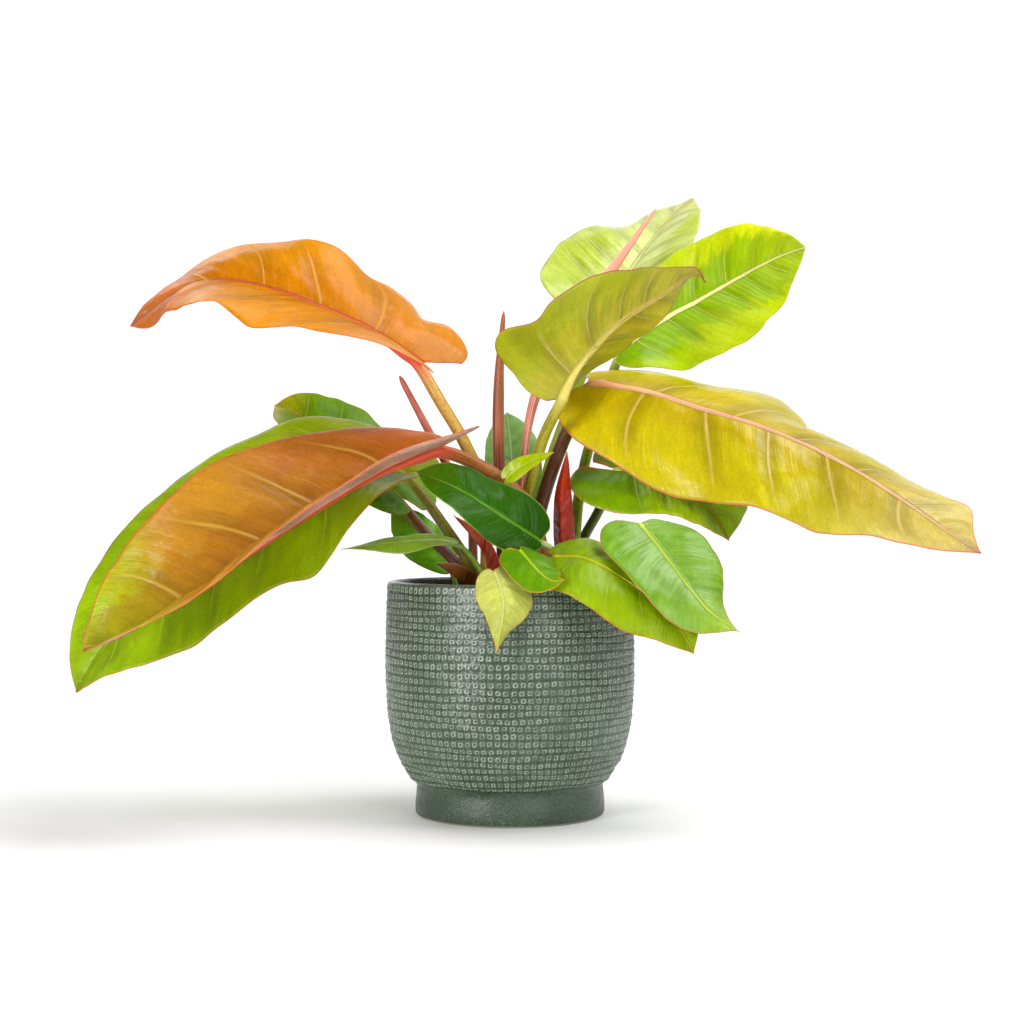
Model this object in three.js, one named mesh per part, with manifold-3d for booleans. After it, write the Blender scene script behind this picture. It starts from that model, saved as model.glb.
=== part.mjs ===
// A prince of orange philodendron in a glazed cover pot, in millimetres with +Z up.
// The origin is the middle of the pot's foot, on the surface that the pot stands on.
// +X runs to the right of the plant's front, and +Y runs towards its back.
import * as THREE from "three";
import { mergeVertices } from "three/addons/utils/BufferGeometryUtils.js";
import Module from "manifold-3d";

const wasm = await Module();
wasm.setup();

const GAP = 0.35; // between pieces that meet along a curved face
const SEAT = 0.5; // between the top of a stalk and the midrib that rests on it

// The glazed cover pot, with a smooth foot below a full body.
const COVER = {
  height: 149,
  rim: 78.6,
  belly: 79.8,
  foot: 60.5,
  footHeight: 19,
  wall: 5.2,
  floor: 8,
  sides: 48,
};

// The thin plastic pot that the plant grows in, standing inside the cover pot.
const NURSERY = { height: 122, rim: 65, base: 47, wall: 1.2, lip: 2.4, lipHeight: 7, sides: 36 };
const SOIL = { belowRim: 9, dome: 4, lump: 1.2, sides: 32 };

const nurseryTop = COVER.floor + NURSERY.height;
const soilEdge = nurseryTop - SOIL.belowRim;
const soilTop = soilEdge + SOIL.dome;
const stalkFoot = soilEdge - 14; // how deep stalks and stems stand in the soil

// The blade of every leaf.
const BLADE = {
  thick: 0.9,
  crease: 1.5, // how far from the midrib the blade's faces take on the whole fold
  veinAngle: 62, // between the midrib and the side veins, in degrees
  least: 0.5, // half the width of the tip's point
  lobeCorner: 0.5, // the share that the first side vein is short of its lobe, which rounds the lobe off
  cornerReach: 0.03, // and the share of the midrib over which that fades
  crowding: 1.35, // over 1 sets the rows of faces closer together at the base
};
const LARGE = { rows: 13, columns: [-1, -0.7, -0.38, -0.07, 0, 0.07, 0.38, 0.7, 1], steps: 10 };
const SMALL = { rows: 9, columns: [-1, -0.6, -0.09, 0, 0.09, 0.6, 1], steps: 7 };

// Each leaf gives its midrib from the stalk to the tip, and the way its upper side faces at both ends. All
// pairs are for its left and its right half. A half has a longest side vein and a fold up from the midrib, in
// degrees at five stations from base to tip, and droops again towards its margin. A lobe at the base has a
// length as a share of the longest vein, the angle that its veins point back at, and a reach along the rib.
// The waves of the margin have a height, a count and a start. The stalk runs up from its foot in the soil.
const LEAVES = [
  {
    name: "orange_high_left",
    colour: 0xe8912a,
    rib: [
      [-57, 0, 289], [-83, -4, 306], [-109, -6, 319], [-147, -4, 334],
      [-184, 2, 342], [-214, 8, 336], [-247, 14, 314],
    ],
    face: [[0.1, -0.75, 0.65], [0.1, -0.75, 0.65]],
    half: [73, 53],
    fold: [[51, 42, 32, 35, 31], [4, 3, 23, -4, -9]],
    droop: [12, 29],
    lobe: { length: [0.55, 1.15], angle: [119, 139], reach: 0.14 },
    outline: { widest: 0.34, power: 2.1, draw: 1.0 },
    wave: [3.9, 3.1, -0.05],
    ridge: 3,
    grid: LARGE,
    stalk: {
      colour: 0xc98a35,
      foot: [-16, 18],
      path: [[-16, 14, 201], [-28, 4, 235], [-46, 0, 266]],
      radii: [4.3, 3.9],
    },
  },
  {
    name: "orange_low_left",
    colour: 0xd98a35,
    rib: [
      [-43, -32, 234], [-77, -46, 220], [-112, -60, 198], [-149, -74, 173],
      [-184, -85, 148], [-224, -94, 123], [-251, -98, 111],
    ],
    face: [[-0.1, -0.6, 0.8], [-0.1, -0.6, 0.8]],
    half: [64, 64],
    fold: [[44, 50, 49, 37, 45], [5, 26, 39, 38, 46]],
    droop: [9, 8],
    lobe: { length: [0.72, 0.41], angle: [148, 120], reach: 0.09 },
    outline: { widest: 0.4, power: 2.7, draw: 0.98 },
    wave: [3.9, 1.3, 0.36],
    ridge: 3.2,
    grid: LARGE,
    stalk: {
      colour: 0xb9722f,
      foot: [25, -14],
      path: [[16, -22, 188], [1, -28, 208], [-21, -31, 223]],
      radii: [5, 4.2],
    },
  },
  {
    name: "green_low_left",
    colour: 0x8cb81f,
    rib: [
      [-66, -8, 218], [-98, -14, 218], [-133, -21, 208], [-179, -26, 177],
      [-226, -27, 138], [-255, -24, 108], [-274, -20, 79],
    ],
    face: [[-0.2, -0.65, 0.75], [-0.2, -0.65, 0.75]],
    half: [63, 67],
    fold: [[34, -14, 2, -3, 30], [0, 25, 21, 22, 34]],
    droop: [16, 13],
    lobe: { length: [0.39, 0.7], angle: [131, 159], reach: 0.07 },
    outline: { widest: 0.33, power: 2.3, draw: 0.94 },
    wave: [3.0, 1.3, 0.19],
    ridge: 3.2,
    grid: LARGE,
    stalk: {
      colour: 0x7d7a2c,
      foot: [-15, -8],
      path: [[-20, -10, 150], [-46, -10, 190]],
      radii: [4, 3.3],
    },
  },
  {
    name: "green_back_left",
    colour: 0x5f9a1e,
    rib: [[-72, 25, 203], [-98, 38, 226], [-124, 52, 245], [-145, 64, 260], [-161, 74, 266]],
    face: [[0.35, -0.5, 0.75], [0.35, -0.5, 0.75]],
    half: [37, 40],
    fold: [[10, 10, 11, 11, 10], [12, 14, 20, 34, 46]],
    droop: [24, 17],
    lobe: { length: [0.82, 0.82], angle: [160, 160], reach: 0.09 },
    outline: { widest: 0.34, power: 2.2, draw: 1.04 },
    wave: [2.6, 1.7, 0.22],
    ridge: 2.6,
    grid: LARGE,
    stalk: { colour: 0x8a5a48, foot: [-24, -3], path: [[-28, 0, 152], [-55, 13, 180]], radii: [4.2, 3.4] },
  },
  {
    name: "lime_high_back",
    colour: 0xa6c83c,
    rib: [[65, 89, 322], [76, 101, 347], [90, 117, 370], [108, 137, 395], [133, 159, 423]],
    face: [[-0.1, -0.85, 0.5], [-0.1, -0.7, 0.7]],
    half: [67, 52],
    fold: [[34, 7, 8, -13, -21], [19, 23, 37, 38, 30]],
    droop: [18, 13],
    lobe: { length: [0.75, 0.82], angle: [101, 160], reach: 0.09 },
    outline: { widest: 0.22, power: 2.1, draw: 1.04 },
    wave: [3.4, 2.8, -0.02],
    ridge: 2.8,
    grid: LARGE,
    stalk: { colour: 0x9aa04a, foot: [17, 17], path: [[22, 32, 206], [41, 62, 266]], radii: [4, 3.2] },
  },
  {
    name: "lime_high_right",
    colour: 0x9cc81e,
    rib: [[74, 40, 301], [103, 50, 322], [128, 58, 336], [157, 65, 353], [181, 69, 366], [202, 72, 374]],
    face: [[-0.2, -0.92, 0.35], [-0.2, -0.92, 0.35]],
    half: [51, 45],
    fold: [[5, 0, 0, 13, 28], [30, -16, -8, -12, -12]],
    droop: [21, 24],
    lobe: { length: [0.82, 0.51], angle: [160, 156], reach: 0.07 },
    outline: { widest: 0.32, power: 2.2, draw: 1.01 },
    wave: [2.4, 3.4, -0.02],
    ridge: 2.8,
    grid: LARGE,
    stalk: { colour: 0x8f9a3c, foot: [39, 5], path: [[45, 13, 204], [58, 32, 256]], radii: [4.2, 3.2] },
  },
  {
    name: "olive_high_front",
    colour: 0x9fae2e,
    rib: [
      [31, -38, 263], [39, -42, 278], [50, -46, 292], [68, -50, 310],
      [93, -50, 326], [110, -46, 339], [117, -38, 345],
    ],
    face: [[-0.3, 0.85, 0.4], [-0.3, 0.85, 0.4]],
    half: [45, 56],
    fold: [[60, 52, 36, 30, 30], [40, -8, -12, -14, -26]],
    droop: [8, 7],
    lobe: { length: [0.57, 0.3], angle: [107, 123], reach: 0.12 },
    outline: { widest: 0.12, power: 1.6, draw: 1.4 },
    wave: [3.3, 2.3, 0.37],
    ridge: 2.8,
    grid: LARGE,
    stalk: {
      colour: 0xa3a346,
      foot: [4, -3],
      path: [[6, -8, 175], [12, -18, 207], [21, -28, 239]],
      radii: [4.2, 3.6],
    },
  },
  {
    name: "yellow_right",
    colour: 0xcdb92a,
    rib: [
      [51, -8, 275], [84, -18, 270], [119, -31, 258], [155, -44, 246],
      [196, -55, 227], [232, -61, 205], [267, -66, 180], [285, -68, 168],
    ],
    face: [[0.1, -0.88, 0.45], [0.1, -0.88, 0.45]],
    half: [78, 63],
    fold: [[-34, -31, -35, -32, 14], [4, -6, 6, -22, 14]],
    droop: [21, 16],
    lobe: { length: [0.61, 0.57], angle: [114, 152], reach: 0.16 },
    outline: { widest: 0.31, power: 1.7, draw: 1.04 },
    wave: [4.2, 3.2, 0.35],
    ridge: 3.4,
    grid: LARGE,
    stalk: {
      colour: 0x7a4a30,
      foot: [14, -9],
      path: [[15, -9, 172], [22, -8, 204], [32, -5, 233], [43, -4, 258]],
      radii: [4.8, 4.4],
    },
  },
  {
    name: "green_right",
    colour: 0x6da51f,
    rib: [[68, 0, 220], [89, -8, 217], [113, -15, 207], [128, -19, 192], [138, -22, 175]],
    face: [[0.1, -0.75, 0.65], [0.3, -0.7, 0.62]],
    half: [47, 46],
    fold: [[9, 10, 13, 21, 14], [13, 11, 25, 35, 28]],
    droop: [21, 17],
    lobe: { length: [0.82, 0.92], angle: [160, 172], reach: 0.07 },
    outline: { widest: 0.32, power: 2.0, draw: 1.16 },
    wave: [4.2, 1.2, -0.11],
    ridge: 2.4,
    grid: LARGE,
    stalk: { colour: 0x6b6a30, foot: [36, 18], path: [[44, 21, 166], [58, 15, 194]], radii: [3.8, 3.2] },
  },
  {
    name: "green_front_right",
    colour: 0x7ab52c,
    rib: [[79, -62, 186], [93, -77, 167], [107, -91, 147], [118, -98, 134], [134, -104, 123]],
    face: [[0.3, -0.85, 0.42], [0.3, -0.85, 0.42]],
    half: [31, 33],
    fold: [[2, 24, 18, -14, -20], [3, 7, 6, 0, 4]],
    droop: [17, 15],
    lobe: { length: [0.6, 0.89], angle: [97, 130], reach: 0.13 },
    outline: { widest: 0.27, power: 1.8, draw: 1.16 },
    wave: [2.5, 1.3, 0.49],
    ridge: 2.2,
    grid: SMALL,
    stalk: { colour: 0x7fa043, foot: [34, -30], path: [[46, -38, 152], [66, -50, 178]], radii: [3, 2.2] },
  },
  {
    name: "green_rim_right",
    colour: 0x84b41c,
    rib: [[27, -66, 166], [48, -80, 164], [77, -90, 146], [94, -92, 133], [109, -90, 109]],
    face: [[0.2, -0.8, 0.55], [0.2, -0.8, 0.55]],
    half: [35, 32],
    fold: [[-1, -21, -1, 10, 19], [7, 3, 6, 3, 11]],
    droop: [20, 15],
    lobe: { length: [0.51, 0.78], angle: [155, 160], reach: 0.1 },
    outline: { widest: 0.32, power: 2.2, draw: 1.1 },
    wave: [2.8, 1.3, -0.25],
    ridge: 2.2,
    grid: SMALL,
    stalk: { colour: 0x7fa043, foot: [24, -36], path: [[24, -40, 138], [24, -54, 156]], radii: [2.8, 2] },
  },
  {
    name: "dark_front",
    colour: 0x3f8a1c,
    rib: [[19, -50, 175], [-6, -60, 191], [-30, -61, 206], [-57, -53, 218]],
    face: [[0.1, -0.85, 0.5], [0.1, -0.85, 0.5]],
    half: [20, 23],
    fold: [[17, -4, 2, 19, 11], [14, 8, -2, 15, 14]],
    droop: [10, 9],
    lobe: { length: [0.3, 0.86], angle: [134, 103], reach: 0.1 },
    outline: { widest: 0.29, power: 2.3, draw: 0.99 },
    wave: [3.0, 1.4, 0.61],
    ridge: 2,
    grid: SMALL,
    stalk: { colour: 0xd8d0a0, foot: [20, -27], path: [[26, -34, 152], [26, -42, 169]], radii: [2.6, 2.1] },
  },
  {
    name: "small_front",
    colour: 0x86bd14,
    rib: [[6, -74, 170], [13, -85, 162], [20, -92, 155], [26, -96, 152], [32, -98, 153]],
    face: [[0.1, -0.9, 0.4], [0, -0.9, 0.4]],
    half: [18, 17],
    fold: [[-16, -12, -28, -22, -8], [-4, -2, 2, 14, 34]],
    droop: [25, 10],
    lobe: { length: [0.69, 0.81], angle: [152, 148], reach: 0.09 },
    outline: { widest: 0.29, power: 1.9, draw: 1.19 },
    wave: [2.4, 1.3, 0.68],
    ridge: 1.6,
    grid: SMALL,
    stalk: { colour: 0x8fae30, foot: [6, -30], path: [[8, -42, 147], [7, -59, 164]], radii: [2.2, 1.4] },
  },
  {
    name: "pale_hanging",
    colour: 0xc6cf5c,
    rib: [[-9, -82, 157], [-5, -91, 147], [-4, -95, 135], [-6, -96, 122], [-8, -95, 110]],
    face: [[0, -0.95, 0.3], [0, -0.95, 0.3]],
    half: [22, 17],
    fold: [[-12, -14, -16, -36, -26], [-6, -4, 0, 0, 0]],
    droop: [30, 16],
    lobe: { length: [0.59, 0.59], angle: [143, 152], reach: 0.1 },
    outline: { widest: 0.24, power: 1.4, draw: 1.36 },
    wave: [2.8, 1.4, 0.61],
    ridge: 1.6,
    grid: SMALL,
    stalk: { colour: 0x9db834, foot: [2, -38], path: [[-2, -48, 148], [-7, -68, 157]], radii: [2, 1.6] },
  },
  {
    name: "narrow_left",
    colour: 0x9bbf45,
    rib: [[-35, -26, 174], [-50, -30, 175], [-68, -37, 174], [-87, -42, 172], [-104, -45, 170]],
    face: [[0, -0.4, 0.9], [0, -0.4, 0.9]],
    half: [9, 9],
    fold: [[8, 0, -17, -9, -1], [19, 22, 5, 2, 8]],
    droop: [14, 13],
    lobe: { length: [0.63, 0.74], angle: [155, 155], reach: 0.09 },
    outline: { widest: 0.35, power: 2.1, draw: 1.08 },
    wave: [1.2, 1.2, 0.23],
    ridge: 1.2,
    grid: SMALL,
    stalk: {
      colour: 0xa8c030,
      foot: [-17, -19],
      path: [[-16, -22, 150], [-27, -24, 168]],
      radii: [2.2, 1.5],
    },
  },
  {
    name: "small_back_left",
    colour: 0x6fa52a,
    rib: [[-39, 18, 158], [-51, 22, 171], [-65, 28, 184], [-79, 34, 196]],
    face: [[0.2, -0.85, 0.45], [0.2, -0.85, 0.45]],
    half: [20, 17],
    fold: [[16, -2, -4, 2, 3], [3, -3, -6, 10, 9]],
    droop: [12, 14],
    lobe: { length: [0.68, 0.47], angle: [130, 139], reach: 0.04 },
    outline: { widest: 0.31, power: 1.9, draw: 1.18 },
    wave: [1.3, 2.1, 0.3],
    ridge: 1.4,
    grid: SMALL,
    stalk: { colour: 0x7fa043, foot: [-33, 15], path: [[-34, 16, 140]], radii: [2, 1.6] },
  },
  {
    name: "narrow_middle",
    colour: 0xb4cc2c,
    rib: [[-2, -40, 214], [9, -43, 222], [27, -42, 230]],
    face: [[-0.2, -0.85, 0.5], [-0.2, -0.85, 0.5]],
    half: [7, 7],
    fold: [[18, 20, 13, 10, 8], [9, 8, 20, 19, 16]],
    droop: [5, 5],
    lobe: { length: [0.81, 0.68], angle: [155, 157], reach: 0.08 },
    outline: { widest: 0.26, power: 1.9, draw: 1.14 },
    wave: [0.6, 1.2, 0.06],
    ridge: 1,
    grid: SMALL,
    stalk: { colour: 0xa8c030, foot: [3, -18], path: [[-2, -28, 160], [-7, -37, 190]], radii: [1.8, 1.3] },
  },
  {
    name: "small_back_middle",
    colour: 0x7fae55,
    rib: [[3, 45, 206], [1, 50, 233], [-2, 54, 260]],
    face: [[0, -0.9, 0.4], [0, -0.9, 0.4]],
    half: [20, 21],
    fold: [[7, 7, 10, 9, 8], [6, 6, 6, -1, 0]],
    droop: [11, 13],
    lobe: { length: [0.82, 0.82], angle: [160, 160], reach: 0.09 },
    outline: { widest: 0.32, power: 2.1, draw: 1.07 },
    wave: [1.2, 1.5, 0.29],
    ridge: 1.4,
    grid: SMALL,
    stalk: { colour: 0x7fa043, foot: [6, 25], path: [[6, 32, 165]], radii: [2.2, 1.6] },
  },
];

// New leaves that are still rolled up into a pointed spear.
const SPEARS = [
  {
    name: "spear_middle",
    colour: 0x9a5a48,
    foot: [-3, 22],
    path: [[-7, 9, 220], [-7, 2, 278], [-4, -2, 322]],
    radii: [4.2, 4.1, 4.1, 3.6, 1],
  },
  {
    name: "spear_left",
    colour: 0xb5604c,
    foot: [-24, 9],
    path: [[-26, 21, 198], [-43, 28, 227], [-73, 32, 283]],
    radii: [3.6, 3.2, 3, 2.8, 1.6],
  },
  {
    name: "spear_tall",
    colour: 0xc9664a,
    foot: [5, 12],
    path: [[8, 5, 214], [17, 5, 269], [42, 8, 317], [67, 8, 351], [95, 8, 390]],
    radii: [3.4, 2.9, 2.9, 4.2, 3.8, 0.8],
  },
];

// Sheaths that wrapped leaves before they opened: narrow channels, folded up on both sides.
const SHEATHS = [
  {
    name: "sheath_red_right",
    colour: 0xc8452e,
    rib: [[36, -11, stalkFoot], [33, -17, 165], [32, -21, 201], [36, -21, 231]],
    face: [[0.2, 0.9, 0.1], [0.2, 0.9, 0.1]],
    half: [14, 14],
  },
  {
    name: "sheath_red_left",
    colour: 0xb24a35,
    rib: [[-5, -9, stalkFoot], [-13, -8, 155], [-20, -8, 172], [-36, -10, 191]],
    face: [[0.5, 0.6, 0.5], [0.5, 0.6, 0.5]],
    half: [9, 9],
  },
  {
    name: "sheath_dry_rim",
    colour: 0x8a4a2a,
    rib: [[-28, -16, stalkFoot], [-27, -20, 142], [-34, -28, 152], [-46, -32, 161]],
    face: [[0.3, 0.3, 0.9], [0.3, 0.3, 0.9]],
    half: [11, 11],
  },
];
const SHEATH_FORM = {
  fold: [[60, 52, 45, 45, 50], [60, 52, 45, 45, 50]],
  droop: [-25, -25],
  lobe: { length: [0.5, 0.5], angle: [90, 90], reach: 0.09 },
  outline: { widest: 0.52, power: 2, draw: 0.9 },
  wave: [0, 1, 0],
  ridge: 0,
  grid: SMALL,
};

// The short stems that the stalks crowd round.
const STEMS = [
  { name: "stem_left", at: [-9, 6], radius: 7, above: 16 },
  { name: "stem_right", at: [25, 2], radius: 6.5, above: 18 },
  { name: "stem_front", at: [14, -34], radius: 4.5, above: 10 },
];

const degrees = THREE.MathUtils.degToRad;

// The closed solid of a geometry, with its shared corners merged and its collapsed faces dropped.
function solidOf(geometry) {
  const bare = geometry.clone();
  bare.deleteAttribute("normal");
  bare.deleteAttribute("uv");
  const merged = mergeVertices(bare, 1e-3);
  const corners = Array.from(merged.index.array);
  const kept = [];
  for (let i = 0; i < corners.length; i += 3) {
    const [a, b, c] = corners.slice(i, i + 3);
    if (a !== b && b !== c && c !== a) kept.push(a, b, c);
  }
  return new wasm.Manifold(
    new wasm.Mesh({
      numProp: 3,
      vertProperties: new Float32Array(merged.attributes.position.array),
      triVerts: new Uint32Array(kept),
    }),
  );
}

function geometryOf(solid) {
  const mesh = solid.getMesh();
  return new THREE.BufferGeometry()
    .setAttribute("position", new THREE.BufferAttribute(new Float32Array(mesh.vertProperties), 3))
    .setIndex(new THREE.BufferAttribute(new Uint32Array(mesh.triVerts), 1));
}

// Turns the faces of a closed shape outwards if they point inwards.
function facingOut(shape) {
  if (solidOf(shape).volume() < 0) {
    const order = shape.index.array;
    for (let i = 0; i < order.length; i += 3) [order[i + 1], order[i + 2]] = [order[i + 2], order[i + 1]];
  }
  return shape;
}

function turned(profile, sides) {
  const corners = profile.map(([r, z]) => new THREE.Vector2(r, z));
  return new THREE.LatheGeometry(corners, sides).rotateX(Math.PI / 2);
}

function vector(point) {
  return new THREE.Vector3(...point);
}

function curveThrough(points) {
  return new THREE.CatmullRomCurve3(points.map(vector), false, "catmullrom", 0.5);
}

// The value at a share of the way along an evenly spaced row of values, on a smooth line through them.
function along(values, share) {
  const line = new THREE.SplineCurve(values.map((value, i) => new THREE.Vector2(i, value)));
  return line.getPoint(share).y;
}

// How long the side vein is that leaves the midrib at t, as a share of the longest one of that half.
function veinLength(leaf, side, t) {
  const { widest, power, draw } = leaf.outline;
  const lobe = leaf.lobe.length[side];
  const rise = Math.min(t / widest, 1);
  const fall = Math.max((t - widest) / (1 - widest), 0);
  const corner = 1 - BLADE.lobeCorner * Math.exp(-t / BLADE.cornerReach);
  return (lobe + (1 - lobe) * (1 - (1 - rise) ** 2)) * corner * (1 - fall ** power) ** draw;
}

// The midrib by the distance along it, running straight on past both ends, with the blade's directions there.
function midribOf(leaf) {
  const curve = curveThrough(leaf.rib);
  const length = curve.getLength();
  const [faceAtBase, faceAtTip] = leaf.face.map(vector);
  function at(distance) {
    const share = THREE.MathUtils.clamp(distance / length, 0, 1);
    const ahead = curve.getTangentAt(share);
    const place = curve.getPointAt(share).addScaledVector(ahead, distance - share * length);
    const face = faceAtBase.clone().lerp(faceAtTip, share);
    const right = new THREE.Vector3().crossVectors(ahead, face).normalize();
    const up = new THREE.Vector3().crossVectors(right, ahead).normalize();
    return { place, ahead, right, up, share };
  }
  return { length, at };
}

// A point of the blade's middle surface and the way its upper side faces there. s is -1 at the left margin, 0
// at the midrib and 1 at the right margin, and t is where the side vein through it leaves the midrib.
function bladePoint(leaf, midrib, s, t) {
  const side = s < 0 ? 0 : 1;
  const reach = Math.abs(s);
  const lobeTurn = (leaf.lobe.angle[side] - BLADE.veinAngle) * Math.exp(-t / leaf.lobe.reach);
  const angle = degrees(BLADE.veinAngle + lobeTurn);
  const share = veinLength(leaf, side, t);
  const vein = Math.max(share * leaf.half[side], BLADE.least);
  const frame = midrib.at(t * midrib.length + reach * vein * Math.cos(angle));
  const across = reach * vein * Math.sin(angle);
  const fold = degrees(along(leaf.fold[side], frame.share));
  const turn = -degrees(leaf.droop[side]) * reach;
  const bent = Math.abs(turn) > 1e-4;
  const sideways = bent ? (Math.sin(fold + turn) - Math.sin(fold)) / turn : Math.cos(fold);
  const upwards = bent ? (Math.cos(fold) - Math.cos(fold + turn)) / turn : Math.sin(fold);
  const [depth, count, start] = leaf.wave;
  const swing = Math.sin(2 * Math.PI * (count * t + start + 0.37 * side));
  const ripple = depth * reach ** 2 * Math.sqrt(share) * swing;
  const out = frame.right.clone().multiplyScalar(side ? 1 : -1);
  const middle = frame.place
    .clone()
    .addScaledVector(out, across * sideways)
    .addScaledVector(frame.up, across * upwards + ripple);
  const lean = (fold + turn) * Math.min(1, across / BLADE.crease);
  const upper = frame.up
    .clone()
    .multiplyScalar(Math.cos(lean))
    .addScaledVector(out, -Math.sin(lean));
  return { middle, upper };
}

// How far the midrib stands out below the blade: nothing over the stalk, then its full height, then less.
function ridgeHeight(leaf, s, t) {
  return s === 0 ? leaf.ridge * Math.min(1, t / 0.12) * (1 - t) ** 0.7 : 0;
}

// The corners round the edge of a grid, in order.
function rimOf(columns, rows) {
  const rim = [];
  for (let i = 0; i < columns; i++) rim.push(i);
  for (let j = 0; j < rows; j++) rim.push(j * (columns + 1) + columns);
  for (let i = columns; i > 0; i--) rim.push(rows * (columns + 1) + i);
  for (let j = rows; j > 0; j--) rim.push(j * (columns + 1));
  return rim;
}

// The closed blade: one flat grid, laid on its upper and its lower face alike, and a rim that joins the two.
function bladeGeometry(leaf, grow = 0) {
  const { rows, columns } = leaf.grid;
  const midrib = midribOf(leaf);
  const grid = new THREE.PlaneGeometry(1, 1, columns.length - 1, rows);
  const uv = grid.attributes.uv;
  const upper = [];
  const lower = [];
  for (let i = 0; i < uv.count; i++) {
    const s = columns[Math.round(uv.getX(i) * (columns.length - 1))];
    const t = (1 - uv.getY(i)) ** BLADE.crowding;
    const point = bladePoint(leaf, midrib, s, t);
    const sunk = BLADE.thick / 2 + grow + ridgeHeight(leaf, s, t);
    upper.push(...point.middle.clone().addScaledVector(point.upper, BLADE.thick / 2 + grow));
    lower.push(...point.middle.addScaledVector(point.upper, -sunk));
  }
  const face = Array.from(grid.index.array);
  const below = uv.count;
  const order = [...face];
  for (let i = 0; i < face.length; i += 3) {
    order.push(face[i] + below, face[i + 2] + below, face[i + 1] + below);
  }
  const rim = rimOf(columns.length - 1, rows);
  rim.forEach((a, i) => {
    const b = rim[(i + 1) % rim.length];
    order.push(a, b, b + below, a, b + below, a + below);
  });
  const shape = new THREE.BufferGeometry()
    .setAttribute("position", new THREE.BufferAttribute(new Float32Array([...upper, ...lower]), 3))
    .setIndex(order);
  return facingOut(shape);
}

// A round stalk with radii given from its foot to its top: the rings of a cylinder laid along a curve.
function stalkGeometry(points, radii, steps, grow = 0) {
  const curve = curveThrough(points);
  const frames = curve.computeFrenetFrames(steps, false);
  const bare = new THREE.CylinderGeometry(1, 1, 1, 8, steps);
  bare.deleteAttribute("normal");
  bare.deleteAttribute("uv");
  const shape = mergeVertices(bare, 1e-4);
  const at = shape.attributes.position;
  for (let i = 0; i < at.count; i++) {
    const ring = Math.round((at.getY(i) + 0.5) * steps);
    const radius = along(radii, ring / steps) + grow;
    const place = curve
      .getPointAt(ring / steps)
      .addScaledVector(frames.normals[ring], at.getX(i) * radius)
      .addScaledVector(frames.binormals[ring], at.getZ(i) * radius);
    at.setXYZ(i, place.x, place.y, place.z);
  }
  return facingOut(shape);
}

// A leaf's stalk ends under the start of the midrib, with the top of its last ring just clear of the blade.
function stalkPoints(leaf) {
  const [x, y] = leaf.stalk.foot;
  const start = midribOf(leaf).at(0);
  const heading = start.place.clone().sub(vector(leaf.stalk.path.at(-1))).normalize();
  const lean = heading.dot(start.up);
  const ringTop = leaf.stalk.radii[1] * Math.sqrt(1 - lean * lean);
  const end = start.place.addScaledVector(start.up, -ringTop - BLADE.thick / 2 - SEAT);
  return [[x, y, stalkFoot], [x, y, soilTop + 3], ...leaf.stalk.path, end.toArray()];
}

function leafStalk(leaf, grow = 0) {
  return stalkGeometry(stalkPoints(leaf), leaf.stalk.radii, leaf.grid.steps, grow);
}

function spearGeometry({ foot: [x, y], path, radii }, grow = 0) {
  return stalkGeometry([[x, y, stalkFoot], [x, y, soilTop + 3], ...path], radii, 12, grow);
}

function sheathGeometry(sheath, grow = 0) {
  const half = sheath.half.map((width) => width + grow);
  return bladeGeometry({ ...SHEATH_FORM, ...sheath, half }, grow);
}

function stemGeometry({ at: [x, y], radius, above }, grow = 0) {
  const top = soilTop + above;
  const wide = radius + grow;
  const bottom = stalkFoot - grow;
  const profile = [[0, bottom], [wide, bottom], [wide, top - 3], [wide * 0.6, top], [0, top]];
  return turned(profile, 12).translate(x, y, 0);
}

function coverPot() {
  const { height, rim, belly, foot, footHeight, wall, floor, sides } = COVER;
  const outside = [
    [0, 0],
    [foot - 2, 0],
    [foot, 2],
    [foot, 12],
    [foot - 1, footHeight],
    [foot + 3.5, footHeight + 4],
    [foot + 8, footHeight + 11],
    [foot + 13, footHeight + 22],
    [foot + 16.8, footHeight + 35],
    [belly - 0.8, footHeight + 52],
    [belly, footHeight + 76],
    [belly - 0.3, height - 24],
    [rim, height - 4],
    [rim - 1.6, height - 0.8],
  ];
  const inside = [
    [rim - wall + 1.4, height],
    [rim - wall, height - 2.5],
    [belly - wall - 0.6, height - 50],
    [foot + 8, footHeight + 22],
    [foot - 6, floor + 6],
    [foot - 9, floor],
    [0, floor],
  ];
  return turned([...outside, ...inside], sides);
}

function nurseryPot() {
  const { rim, base, wall, lip, lipHeight, sides } = NURSERY;
  const floor = COVER.floor;
  const shoulder = nurseryTop - lipHeight;
  const profile = [
    [0, floor],
    [base, floor],
    [rim - lip, shoulder],
    [rim, shoulder],
    [rim, nurseryTop],
    [rim - wall, nurseryTop],
    [rim - lip - wall, shoulder - 1],
    [base - wall, floor + wall],
    [0, floor + wall],
  ];
  return turned(profile, sides);
}

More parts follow.
